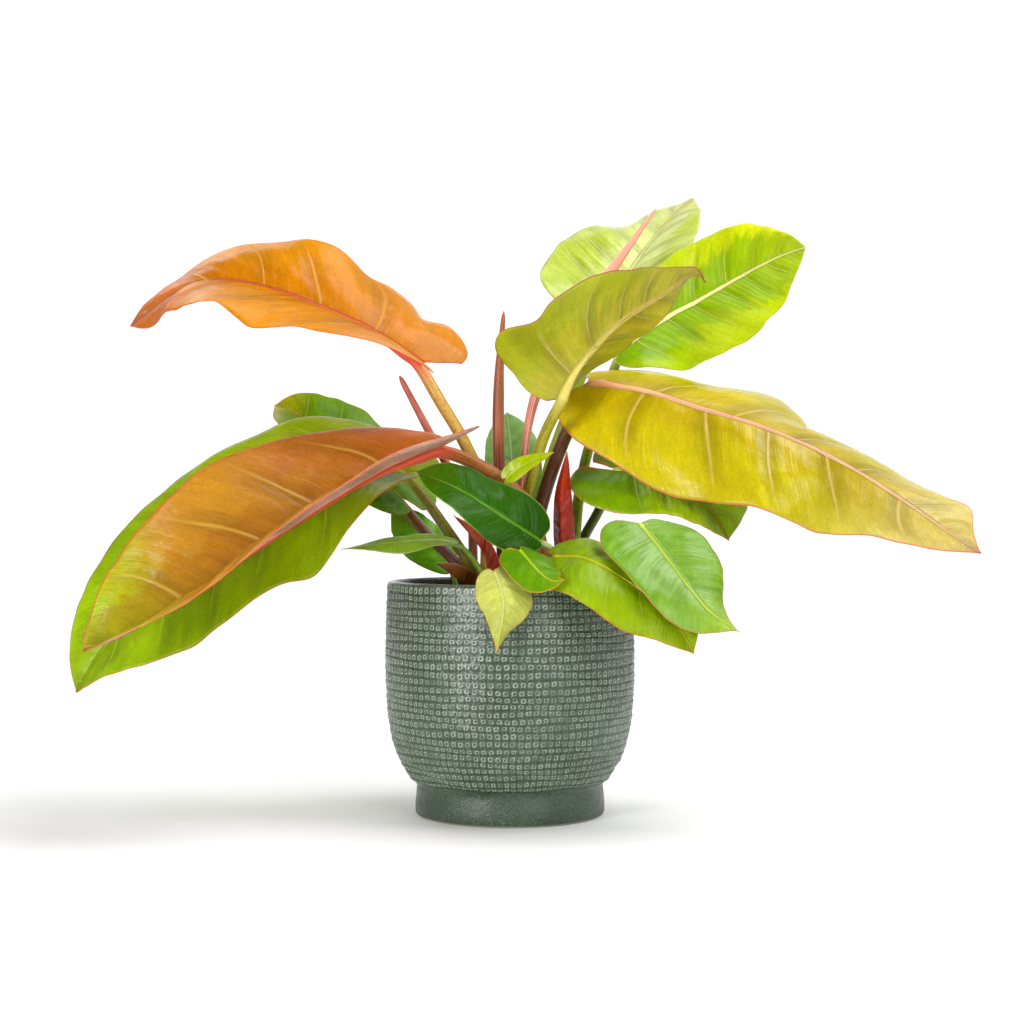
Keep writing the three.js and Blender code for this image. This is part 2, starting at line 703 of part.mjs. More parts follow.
// The soil fills the nursery pot, with a low lumpy dome on top and a plain hole for whatever stands in it.
function pottingSoil() {
  const { rim, base, wall, lip, lipHeight, height } = NURSERY;
  const bottom = COVER.floor + wall;
  const slope = (rim - lip - base) / (height - lipHeight);
  const wideAt = (z) => base + slope * (z - COVER.floor) - wall - GAP;
  const edge = wideAt(soilEdge);
  const rings = [1, 0.86, 0.7, 0.53, 0.35, 0.18, 0];
  const dome = rings.map((r) => [edge * r, soilEdge + SOIL.dome * (1 - r * r)]);
  const shape = turned([[0, bottom], [wideAt(bottom), bottom], ...dome], SOIL.sides);
  const at = shape.attributes.position;
  for (let i = 0; i < at.count; i++) {
    const [x, y, z] = [at.getX(i), at.getY(i), at.getZ(i)];
    const onTop = z > bottom + 5 && Math.hypot(x, y) < edge - 1;
    if (onTop) at.setZ(i, z + SOIL.lump * Math.sin(x * 0.37 + 1) * Math.cos(y * 0.31 - x * 0.11));
  }
  let soil = solidOf(shape);
  for (const hole of soilHoles()) soil = soil.subtract(solidOf(hole));
  return geometryOf(soil);
}

function soilHoles() {
  return [
    ...LEAVES.map((leaf) => leafStalk(leaf, GAP)),
    ...SPEARS.map((spear) => spearGeometry(spear, GAP)),
    ...STEMS.map((stem) => stemGeometry(stem, GAP)),
    ...SHEATHS.map((sheath) => sheathGeometry(sheath, GAP)),
  ];
}

function material(colour, roughness) {
  return new THREE.MeshStandardMaterial({ color: colour, roughness, metalness: 0 });
}

const plant = new THREE.Group();

function add(name, geometry, look) {
  const mesh = new THREE.Mesh(geometry, look);
  mesh.name = name;
  plant.add(mesh);
}

add("cover_pot", coverPot(), material(0x5b7462, 0.35));
add("nursery_pot", nurseryPot(), material(0x1c1c1e, 0.5));
add("potting_soil", pottingSoil(), material(0x3a2a20, 0.95));
for (const stem of STEMS) add(stem.name, stemGeometry(stem), material(0x6f6a3a, 0.6));
for (const leaf of LEAVES) {
  add(`blade_${leaf.name}`, bladeGeometry(leaf), material(leaf.colour, 0.4));
  add(`stalk_${leaf.name}`, leafStalk(leaf), material(leaf.stalk.colour, 0.45));
}
for (const spear of SPEARS) add(spear.name, spearGeometry(spear), material(spear.colour, 0.4));
for (const sheath of SHEATHS) add(sheath.name, sheathGeometry(sheath), material(sheath.colour, 0.5));

export default plant;
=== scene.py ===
# A potted prince of orange philodendron: broad orange, yellow and green leaves in a glazed cover pot.
# Sizes of the plant are in millimetres and turned into metres by MM. +Z is up, and -Y is the plant's front.
import math
import bpy
import numpy as np
from mathutils import Matrix, Vector


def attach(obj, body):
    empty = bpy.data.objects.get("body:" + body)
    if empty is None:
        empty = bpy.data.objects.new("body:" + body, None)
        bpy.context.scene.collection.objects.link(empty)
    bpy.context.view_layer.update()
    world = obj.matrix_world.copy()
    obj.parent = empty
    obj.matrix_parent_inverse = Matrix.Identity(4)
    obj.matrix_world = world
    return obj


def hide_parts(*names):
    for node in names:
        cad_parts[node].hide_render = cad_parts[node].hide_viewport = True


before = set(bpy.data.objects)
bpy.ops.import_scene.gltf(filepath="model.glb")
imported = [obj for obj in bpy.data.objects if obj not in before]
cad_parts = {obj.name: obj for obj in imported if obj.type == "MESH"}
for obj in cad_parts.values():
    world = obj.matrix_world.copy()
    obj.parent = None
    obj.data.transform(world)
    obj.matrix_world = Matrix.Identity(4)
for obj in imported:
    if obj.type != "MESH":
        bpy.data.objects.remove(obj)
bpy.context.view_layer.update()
MM = 0.001


# The studio, in metres, is a seamless sheet of pale paper that curves up behind the plant. The key light is
# a softbox high at the right. A tall window at the front left gives the glaze its streak, and a weak light
# behind at the left gives the raised leaves their gloss.
EYE = Vector((1.3, -1150, 193)) * MM
LENS = 62.86
SENSOR = 36  # millimetres wide, as the lens is in millimetres
LIT_POINT = (0, 0, 0.22)  # the middle of the plant
PAPER_DEPTH = (-5.0, 2.6)  # where the paper's flat part begins and ends
PAPER_CURVE = 1.2
PAPER_STEPS = 24
PAPER_TOP = 5.0
PAPER_HALF_WIDTH = 6.0
PAPER_WHITE = (0.88, 0.88, 0.88, 1)
SKY = 0.25


def add_camera():
    lens = bpy.data.cameras.new("camera")
    lens.lens = LENS
    lens.sensor_width = SENSOR
    camera = bpy.data.objects.new("camera", lens)
    camera.location = EYE
    camera.rotation_euler = (math.radians(90), 0, 0)
    bpy.context.scene.collection.objects.link(camera)
    bpy.context.scene.camera = camera


def new_object(name, points, faces):
    mesh = bpy.data.meshes.new(name)
    mesh.from_pydata([tuple(point) for point in points], [], faces)
    mesh.validate()
    mesh.shade_smooth()
    made = bpy.data.objects.new(name, mesh)
    bpy.context.scene.collection.objects.link(made)
    return made


def new_material(name, values):
    """A material and its shader, with sockets of the shader set to the values."""
    material = bpy.data.materials.new(name)
    material.use_nodes = True
    shader = material.node_tree.nodes["Principled BSDF"]
    for socket, value in values.items():
        shader.inputs[socket].default_value = value
    return material, shader


def add_paper():
    near, far = PAPER_DEPTH
    side = [(near, 0.0), (far, 0.0)]
    for part in range(1, PAPER_STEPS + 1):
        turn = math.radians(90) * part / PAPER_STEPS
        side.append((far + PAPER_CURVE * math.sin(turn), PAPER_CURVE * (1 - math.cos(turn))))
    side.append((far + PAPER_CURVE, PAPER_TOP))
    points = [(x, y, z) for y, z in side for x in (-PAPER_HALF_WIDTH, PAPER_HALF_WIDTH)]
    faces = [(2 * i, 2 * i + 1, 2 * i + 3, 2 * i + 2) for i in range(len(side) - 1)]
    paper = new_object("studio_paper", points, faces)
    white, _ = new_material("white_paper", {"Base Color": PAPER_WHITE, "Roughness": 0.9})
    paper.data.materials.append(white)


def add_softbox(name, place, size, power, aim=LIT_POINT):
    light = bpy.data.lights.new(name, "AREA")
    light.shape = "RECTANGLE"
    light.size, light.size_y = size
    light.energy = power
    box = bpy.data.objects.new(name, light)
    box.location = place
    box.rotation_euler = (Vector(aim) - Vector(place)).to_track_quat("-Z", "Y").to_euler()
    box.visible_camera = False
    bpy.context.scene.collection.objects.link(box)


def add_sky():
    sky = bpy.data.worlds.new("pale_sky")
    sky.use_nodes = True
    background = sky.node_tree.nodes["Background"]
    background.inputs["Color"].default_value = (1, 1, 1, 1)
    background.inputs["Strength"].default_value = SKY
    bpy.context.scene.world = sky


add_camera()
add_paper()
add_softbox("key_above", (1.0, -0.1, 1.9), (1.5, 1.5), 48)
add_softbox("window_left", (-1.4, -1.75, 0.5), (0.4, 1.2), 36)
add_softbox("fill_front", (1.3, -2.0, 0.8), (0.8, 0.8), 18)
add_softbox("back_left", (-0.9, 1.1, 1.5), (0.9, 0.9), 6)
add_softbox("wall_wash", (0, 1.6, 2.6), (3.5, 0.8), 75, aim=(0, 3.8, 0.9))
add_sky()
bpy.context.scene.view_settings.view_transform = "Standard"


# The cover pot is one piece of sage green glazed stoneware, turned and then pressed with rows of little
# hollow squares. The body stands on a smooth foot, and the glaze breaks pale on every raised edge.
POT_COLUMNS = 104
POT_ROWS = 28
POT_FOOT = [(0.01, 0.4), (52, 0.4), (56, 0), (58.6, 0), (60.2, 0.8), (60.7, 2.4), (60.6, 8), (60.2, 13),
            (59.8, 16.5), (59.7, 18.6), (60.4, 20.2), (61.8, 21.6)]  # radius and height up the outline
POT_OUTSIDE = [(59.6, 19.2), (61.4, 20.6), (64.4, 24.5), (66.8, 28), (69.4, 32), (71.4, 36), (73.0, 40),
               (74.4, 44), (76.4, 51.5), (77.8, 59), (78.9, 70), (79.6, 84), (79.8, 100), (79.6, 118),
               (79.2, 134), (78.8, 143), (78.5, 147.6)]
POT_RIM = [(78.2, 148.1), (77.5, 148.7), (76.3, 149), (74.9, 149)]
POT_INSIDE = [(73.7, 148.3), (73.2, 146.8), (73.4, 130), (74, 110), (73.6, 80), (71, 56), (66, 38),
              (58, 22), (50, 12.5), (40, 8.4), (0.01, 8)]
BAND = (22.6, 147.6)  # the heights between which the squares stand
SQUARE_HEIGHT = 0.6
SQUARE_SUNK = 0.25
PLAIN_LEVEL = 0.2  # of the smooth glaze, and in the middle of a square
PLACE_IN_SQUARE = (-0.5, -0.23, -0.08, 0.08, 0.23)  # groove, raised edge, hollow, hollow, raised edge
LEVEL_IN_SQUARE = (0.0, 1.0, PLAIN_LEVEL, PLAIN_LEVEL, 1.0)
SQUARE_REACH = 0.4  # what lies further from a square's middle is groove
LOWEST_ROW = 0.62  # it is pressed flat against the foot
# The inside colour is painted shade, near black.
GLAZE = {
    "deep": (0.035, 0.06, 0.032, 1), "sage": (0.06, 0.104, 0.064, 1), "olive": (0.046, 0.06, 0.034, 1),
    "groove": (0.01, 0.015, 0.009, 1), "worn": (0.36, 0.43, 0.33, 1), "foot": (0.02, 0.03, 0.018, 1),
    "pale grain": (0.2, 0.25, 0.2, 1), "dark grain": (0.01, 0.018, 0.012, 1),
    "inside": (0.02, 0.013, 0.012, 1), "bare clay": (0.3, 0.29, 0.24, 1),
}


def set_numbers(piece, **rows):
    """Puts rows of numbers on the piece's points, for its finish to read."""
    for name, values in rows.items():
        numbers = piece.data.attributes.new(name, "FLOAT", "POINT")
        numbers.data.foreach_set("value", np.asarray(values, float).ravel())


def ring(radius, height, turn):
    return np.stack([radius * np.cos(turn), radius * np.sin(turn), np.broadcast_to(height, turn.shape)], -1)


def ringed_object(name, rings):
    """An object whose faces run between rings of points, each closed on itself, in millimetres."""
    points = np.concatenate(rings)
    here = np.arange(len(points)).reshape(len(rings), -1)
    after = np.roll(here, -1, axis=1)
    faces = np.stack([here[:-1], after[:-1], after[1:], here[1:]], -1).reshape(-1, 4)
    return new_object(name, points * MM, faces.tolist())


def rounding(a, b, c, d, w):
    """A place between b and c on a smooth line through four points, w of the way along."""
    return b + 0.5 * w * (c - a + w * (2 * a - 5 * b + 4 * c - d + w * (3 * (b - c) + d - a)))


def smooth_line(places, points):
    """Points on a smooth line through the given ones, at places from 0 to 1 of its length."""
    known = np.array(points, float)
    known = np.vstack([2 * known[0] - known[1], known, 2 * known[-1] - known[-2]])
    spans = len(points) - 1
    steps = np.linspace(0, spans, 40 * spans + 1)
    first = np.minimum(steps.astype(int), spans - 1)
    line = rounding(*(known[first + i] for i in range(4)), (steps - first)[:, None])
    length = np.concatenate([[0], np.cumsum(np.linalg.norm(np.diff(line, axis=0), axis=1))])
    return np.stack([np.interp(np.asarray(places) * length[-1], length, axis) for axis in line.T], -1)


def pot_rings():
    """Row, place up the band, level of the square and place in it, for each ring, and the rows' shifts."""
    draw = np.random.default_rng(7)
    heights = 1 + draw.uniform(-0.2, 0.2, POT_ROWS)
    heights[0] = LOWEST_ROW
    starts = np.concatenate([[0], np.cumsum(heights)]) / heights.sum()
    rings = []
    for row in range(POT_ROWS):
        tall = starts[row + 1] - starts[row]
        for place, level in zip(PLACE_IN_SQUARE, LEVEL_IN_SQUARE):
            rings.append((row, starts[row] + tall * (place + 0.5), level, place))
    return rings, draw.uniform(-0.22, 0.22, POT_ROWS)


def cover_pot_rings():
    """The pot's rings of points, how far the glaze is raised at each point, and whether it is inside."""
    draw = np.random.default_rng(11)
    columns = POT_COLUMNS * len(PLACE_IN_SQUARE)
    cell = np.repeat(np.arange(POT_COLUMNS), len(PLACE_IN_SQUARE))
    in_cell = np.tile(PLACE_IN_SQUARE, POT_COLUMNS)
    in_square = np.abs(in_cell) < SQUARE_REACH
    across = np.tile(LEVEL_IN_SQUARE, POT_COLUMNS)
    rings, shifts = pot_rings()
    outline = smooth_line(np.linspace(0, 1, 400), POT_OUTSIDE)
    outline = outline[(outline[:, 1] >= BAND[0]) & (outline[:, 1] <= BAND[1])]
    profile = smooth_line([share for _, share, _, _ in rings], outline)
    points, raised, inside = [], [], []

    def plain_rings(heights, within=0.0):
        turn = 2 * np.pi * (cell + in_cell + 0.5) / POT_COLUMNS
        for radius, height in heights:
            points.append(ring(radius, height, turn))
            raised.append(np.full(columns, PLAIN_LEVEL))
            inside.append(np.full(columns, within))

    plain_rings(POT_FOOT)
    strength = draw.uniform(0.45, 1.1, (POT_ROWS, POT_COLUMNS))
    slips = draw.uniform(-0.05, 0.05, (POT_ROWS, POT_COLUMNS))
    lifts = draw.uniform(-0.25, 0.25, (POT_ROWS, POT_COLUMNS))
    for (row, _, level, place), (radius, height) in zip(rings, profile):
        # A raised edge runs round each square, a little lower at its corners, with a hollow in the middle.
        in_groove = abs(place) > SQUARE_REACH
        square = np.where(in_square, np.maximum(level, across), 0.0) * (not in_groove)
        if level != PLAIN_LEVEL:
            square = np.where(across == 1.0, 0.85, square)
        height_here = square * strength[row][cell] - 0.5 * in_groove
        slip = np.where(in_square, slips[row][cell], 0)
        turn = 2 * np.pi * (cell + in_cell + 0.5 + shifts[row] + slip) / POT_COLUMNS
        wobble = 0.4 * np.sin(5 * turn + 1.3 * row) + 0.25 * np.sin(11 * turn + 2.1 * row)
        wobble += np.where(square > 0, lifts[row][cell], 0)
        points.append(ring(radius - SQUARE_SUNK + SQUARE_HEIGHT * height_here, height + wobble, turn))
        raised.append(square * (0.75 + 0.25 * strength[row][cell]) - 0.8 * in_groove)
        inside.append(np.zeros(columns))
    plain_rings(POT_RIM)
    plain_rings(POT_INSIDE, 1.0)
    return points, raised, inside


class Signal:
    """What comes out of a shader node. Sums and products of signals and numbers make nodes of their own."""

    def __init__(self, made, output=0):
        self.socket = made.outputs[output]
        self.tree = made.id_data

    def __getitem__(self, output):
        return Signal(self.socket.node, output)

    def __add__(self, other):
        return maths("ADD", self, other)

    def __sub__(self, other):
        return maths("SUBTRACT", self, other)

    def __rsub__(self, other):
        return maths("SUBTRACT", other, self)

    def __mul__(self, other):
        return maths("MULTIPLY", self, other)


def connect(made, values):
    """Links the node's inputs to signals, or sets them to values."""
    for key, value in dict(values).items():
        value = value.socket if isinstance(value, Signal) else value
        if isinstance(value, bpy.types.NodeSocket):
            made.id_data.links.new(value, made.inputs[key])
        else:
            made.inputs[key].default_value = value


def node(tree, kind, values=(), **settings):
    made = tree.nodes.new(kind)
    for key, value in settings.items():
        setattr(made, key, value)
    connect(made, values)
    return Signal(made)


def maths(operation, *values):
    tree = next(value.tree for value in values if isinstance(value, Signal))
    return node(tree, "ShaderNodeMath", enumerate(values), operation=operation)


def mixed(share, one, other):
    return node(share.tree, "ShaderNodeMix", {0: share, 6: one, 7: other}, data_type="RGBA")[2]


def step(value, low, high):
    """0 below low and 1 above high, or the other way round where low is the larger."""
    values = {"Value": value, "From Min": low, "From Max": high}
    return node(value.tree, "ShaderNodeMapRange", values, interpolation_type="SMOOTHSTEP")


def number(tree, name):
    return node(tree, "ShaderNodeAttribute", attribute_name=name)["Fac"]


def place_in(tree):
    return node(tree, "ShaderNodeTexCoord")["Object"]


def noise(place, scale, detail=3.0, roughness=0.55):
    values = {"Vector": place, "Scale": scale, "Detail": detail, "Roughness": roughness}
    return node(place.tree, "ShaderNodeTexNoise", values)


def bumps(height, strength, distance):
    values = {"Height": height, "Strength": strength, "Distance": distance}
    return node(height.tree, "ShaderNodeBump", values)


def glaze_material():
    """Sage green glaze that breaks pale on raised edges, painted near black as shade within, and bare clay
    under the foot.
    """
    material, shader = new_material("sage_glaze", {})
    tree = material.node_tree
    place = place_in(tree)
    height = node(tree, "ShaderNodeSeparateXYZ", {"Vector": place})["Z"]
    raised = number(tree, "raised")
    on_foot = step(height, 0.023, 0.018)
    fine = noise(place, 1100, 2)
    colour = mixed(step(noise(place, 30, 4), 0.3, 0.7), GLAZE["deep"], GLAZE["sage"])
    colour = mixed(step(height, 0.03, 0.15) * 0.4, colour, GLAZE["olive"])
    colour = mixed(step(raised, 0.2, -0.6) * 0.75, colour, GLAZE["groove"])
    worn = step(raised, 0.4, 0.95) * step(noise(place, 75, 3), 0.15, 0.5)
    broken = step(noise(place, 330, 2), 0.36, 0.6) * 0.65 + 0.35
    colour = mixed(worn * broken, colour, GLAZE["worn"])
    colour = mixed(on_foot * 0.35, colour, GLAZE["foot"])
    colour = mixed(step(fine, 0.55, 0.7) * 0.5, colour, GLAZE["pale grain"])
    colour = mixed(step(fine, 0.45, 0.28) * 0.65, colour, GLAZE["dark grain"])
    # The inside of the pot is painted near black, as shade.
    colour = mixed(number(tree, "inside"), colour, GLAZE["inside"])
    colour = mixed(step(height, 0.0016, 0.0006), colour, GLAZE["bare clay"])
    rough = step(noise(place, 160, 3), 0.25, 0.8) * 0.16 + 0.12 + on_foot * 0.2
    relief = noise(place, 420, 4) + fine * 0.4
    connect(shader, {"Base Color": colour, "Roughness": rough, "Normal": bumps(relief, 0.45, 0.0008)})
    return material


def place_piece(piece, material, *replaced):
    """The piece rides on the only body, stands for its solids and takes their finish."""
    piece.data.materials.append(material)
    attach(piece, "root")
    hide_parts(*replaced)


pot_points, pot_raised, pot_inside = cover_pot_rings()
pot = ringed_object("glazed_pot", pot_points)
set_numbers(pot, raised=pot_raised, inside=pot_inside)
place_piece(pot, glaze_material(), "cover_pot")


# The nursery pot, in which the plant is sold, is thin black plastic with a rolled lip. It stands loose on
# the floor of the cover pot, and only its rim and wall show in the gap inside the glazed one.
NURSERY_SECTION = [(0.01, 8), (44, 8), (46.4, 8.3), (47, 9), (48, 15), (62.2, 122), (62.8, 123),
                   (64.4, 123.2), (65, 124), (65, 129), (64.5, 129.8), (63.9, 130), (63.5, 129.4),
                   (63.3, 124.4), (62.4, 123.6), (61, 121), (46.2, 10.4), (44.6, 9.3), (0.01, 9.2)]
PLASTIC_BLACK = (0.012, 0.012, 0.013, 1)
SOIL_DUST = (0.05, 0.042, 0.034, 1)


def turned(name, section, columns):
    turn = np.linspace(0, 2 * np.pi, columns, endpoint=False)
    return ringed_object(name, [ring(radius, height, turn) for radius, height in section])


def black_plastic():
    material, shader = new_material("black_plastic", {"Roughness": 0.5})
    place = place_in(material.node_tree)
    dusty = step(noise(place, 60), 0.45, 0.8) * 0.4
    connect(shader, {"Base Color": mixed(dusty, PLASTIC_BLACK, SOIL_DUST),
                     "Normal": bumps(noise(place, 1500, 2), 0.2, 0.0003)})
    return material


nursery_pot = turned("nursery_pot_plastic", NURSERY_SECTION, columns=160)
place_piece(nursery_pot, black_plastic(), "nursery_pot")


# The soil is moist peat with bark chips and a little perlite. It fills the nursery pot to just under its
# rim, in a low lumpy dome round the stems, with loose crumbs on top.
SOIL_EDGE = 60.2
SOIL_LEVEL = 121.0
SOIL_DOME = 4.0
SOIL_BELOW = [(0.01, 9.6), (45.3, 9.6), (52, 62), (58.9, 117)]
CRUMBS = 1500
CRUMB_SHARES = (0.72, 0.22, 0.06)  # of peat, bark and perlite
PEAT = ((0.012, 0.007, 0.005, 1), (0.07, 0.042, 0.026, 1))
BARK = ((0.045, 0.02, 0.01, 1), (0.16, 0.08, 0.04, 1))
PERLITE = (0.62, 0.6, 0.55, 1)


def soil_height(x, y):
    share = np.hypot(x, y) / SOIL_EDGE
    lumps = np.sin(x * 0.37 + 1) * np.cos(y * 0.31 - x * 0.11)
    small = np.sin(x * 1.1 + 2 * np.sin(y * 0.7)) * np.sin(y * 1.3 + 1.7 * np.sin(x * 0.9))
    return SOIL_LEVEL + SOIL_DOME * (1 - share**2) + 0.9 * lumps + 0.6 * small * (1 - share**4)


def soil_rings(count=70, columns=180):
    turn = np.linspace(0, 2 * np.pi, columns, endpoint=False)
    rings = [ring(radius, height, turn) for radius, height in SOIL_BELOW]
    for share in np.linspace(1, 0.0002, count):
        x, y = SOIL_EDGE * share * np.cos(turn), SOIL_EDGE * share * np.sin(turn)
        rings.append(np.stack([x, y, soil_height(x, y)], -1))
    return rings


def crumb_mesh():
    """Loose crumbs and chips, each a squashed and knobbly little block, sunk a little in the soil."""
    draw = np.random.default_rng(21)
    corners = ((-1, -1), (-1, 1), (1, 1), (1, -1))
    block = np.array([(x, y, z) for z in (-1, 0, 1) for y, x in corners], float)
    block[4:8] *= (1.45, 1.45, 1)
    quads = [(3, 2, 1, 0), (8, 9, 10, 11)]
    quads += [(4 * k + i, 4 * k + (i + 1) % 4, 4 * k + 4 + (i + 1) % 4, 4 * k + 4 + i)
              for k in range(2) for i in range(4)]
    points, faces, kinds = [], [], []
    for count in range(CRUMBS):
        radius = (SOIL_EDGE - 2) * math.sqrt(draw.random())
        turn = draw.uniform(0, 2 * math.pi)
        x, y = radius * math.cos(turn), radius * math.sin(turn)
        kind = draw.choice([0, 1, 2], p=CRUMB_SHARES)
        is_bark = kind == 1
        size = draw.uniform(0.9, 2.1) if is_bark else draw.uniform(0.5, 1.4)
        stretch = np.array([1, draw.uniform(0.5, 1), draw.uniform(0.3, 0.8)]) * size
        if is_bark:
            stretch *= (1.5, 0.8, 0.4)
        axes = np.linalg.qr(draw.normal(size=(3, 3)) + np.diag([0, 0, 2.2]))[0]
        made = (block * stretch * draw.uniform(0.75, 1.15, block.shape)) @ axes.T
        made += (x, y, float(soil_height(x, y)) + 0.2 * size)
        faces += [tuple(corner + len(block) * count for corner in quad) for quad in quads]
        points.append(made)
        kinds.append(np.full(len(block), kind / 2))
    return np.concatenate(points) * MM, faces, np.concatenate(kinds)


def soil_material(name, loose):
    """Peat, with chips of bark and white perlite among the loose crumbs."""
    material, shader = new_material(name, {"Roughness": 0.95})
    tree = material.node_tree
    grain = noise(place_in(tree), 700, 5, 0.65)
    colour = mixed(step(grain, 0.35, 0.7), *PEAT)
    if loose:
        kind = number(tree, "kind")
        colour = mixed(step(kind, 0.2, 0.4), colour, mixed(step(grain, 0.3, 0.7), *BARK))
        colour = mixed(step(kind, 0.7, 0.9), colour, PERLITE)
    connect(shader, {"Base Color": colour, "Normal": bumps(grain, 0.9, 0.0015)})
    return material


soil = ringed_object("peat_soil", soil_rings())
place_piece(soil, soil_material("moist_peat", loose=False), "potting_soil")
crumb_points, crumb_faces, crumb_kinds = crumb_mesh()
crumbs = new_object("soil_crumbs", crumb_points, crumb_faces)
crumbs.data.shade_flat()
set_numbers(crumbs, kind=crumb_kinds)
place_piece(crumbs, soil_material("bark_and_perlite", loose=True), "potting_soil")


# The leaves. Each blade is one fleshy sheet that grows out of its round stalk: the midrib stands out below,
# the side veins press soft folds into it, and the thin margin waves. A young blade is orange, and it turns
# through yellow to green as it ages. The skin is glossy and finely lined along the side veins.
BLADE_THICK = 0.8
MARGIN_THICK = 0.45  # as a share of the blade's thickness
THIN_WITHIN = 2.5  # how far from the margin the blade is thinner
BLADE_MESHES = ((40, 150, 60), (22, 110, 48), (0, 72, 40))  # the half width to exceed, rows and columns
MIDRIB_CREST = 0.25  # how far the midrib rises above the blade
VEIN_ANGLE = 62  # between the midrib and the side veins, in degrees
TIP_WIDTH = 0.5
LOBE_CORNER = 0.5
CORNER_REACH = 0.03
CHANNEL = 1.3  # half the width of the round channel over the midrib
QUILT = 2.2  # how far the skin swells between two side veins
PUCKER = 0.4
RIPPLE = 0.22  # of the margin, besides its waves
LIGHT_THROUGH = 0.22  # the share of a blade's light that comes through it
STALK_FOOT = 110
STALK_COLLAR = 128  # just above the soil
STALK_RINGS = 84
TUBE_SIDES = 24
LEAF_COLOURS = ("Base", "Middle", "Tip", "Patch", "Vein", "Midrib", "Midrib tip", "Margin", "Underside")
LEAF_NUMBERS = {"patches": 0.0, "vein_strength": 0.5, "rib_width": 1.6, "margin_width": 0.4, "specks": 0.1,
                "seed": 0.0}
STALK_COLOURS = ("Low", "High", "Line", "End")
DRY_SPECK = (0.75, 0.72, 0.6, 1)


def unit(vectors):
    return vectors / np.linalg.norm(vectors, axis=-1, keepdims=True)


def along(values, share):
    """The value at a share of the way along an even row of values, on a smooth line through them."""
    row = np.array(values, float)
    last = len(row) - 1
    k = np.minimum((share * last).astype(int), last - 1)
    near = (row[np.maximum(k - 1, 0)], row[k], row[k + 1], row[np.minimum(k + 2, last)])
    return rounding(*near, share * last - k)


class Midrib:
    """The smooth line of a blade's midrib, running straight on past both ends."""

    def __init__(self, points, face):
        self.line = smooth_line(np.linspace(0, 1, 401), points)
        steps = np.linalg.norm(np.diff(self.line, axis=0), axis=1)
        self.marks = np.concatenate([[0], np.cumsum(steps)])
        self.length = self.marks[-1]
        self.ahead = unit(np.gradient(self.line, axis=0))
        self.face = np.array(face, float)

    def at(self, distance):
        """Place, direction, right side, upper side and share of the way, at distances along the midrib."""
        share = np.clip(distance / self.length, 0, 1)
        marks = share * self.length
        place = np.stack([np.interp(marks, self.marks, axis) for axis in self.line.T], -1)
        ahead = unit(np.stack([np.interp(marks, self.marks, axis) for axis in self.ahead.T], -1))
        place = place + ahead * (distance - marks)[..., None]
        face = self.face[0] + (self.face[-1] - self.face[0]) * share[..., None]
        right = unit(np.cross(ahead, face))
        return place, ahead, right, np.cross(right, ahead), share


def side_vein(side, t, lobe, outline):
    """The length of the side vein that leaves the midrib at t, as a share of the longest one."""
    widest, power, draw = outline
    start = np.where(side, lobe[0][1], lobe[0][0])
    rise = np.minimum(t / widest, 1)
    fall = np.clip((t - widest) / (1 - widest), 0, 1)
    corner = 1 - LOBE_CORNER * np.exp(-t / CORNER_REACH)
    return (start + (1 - start) * (1 - (1 - rise)**2)) * corner * (1 - fall**power)**draw


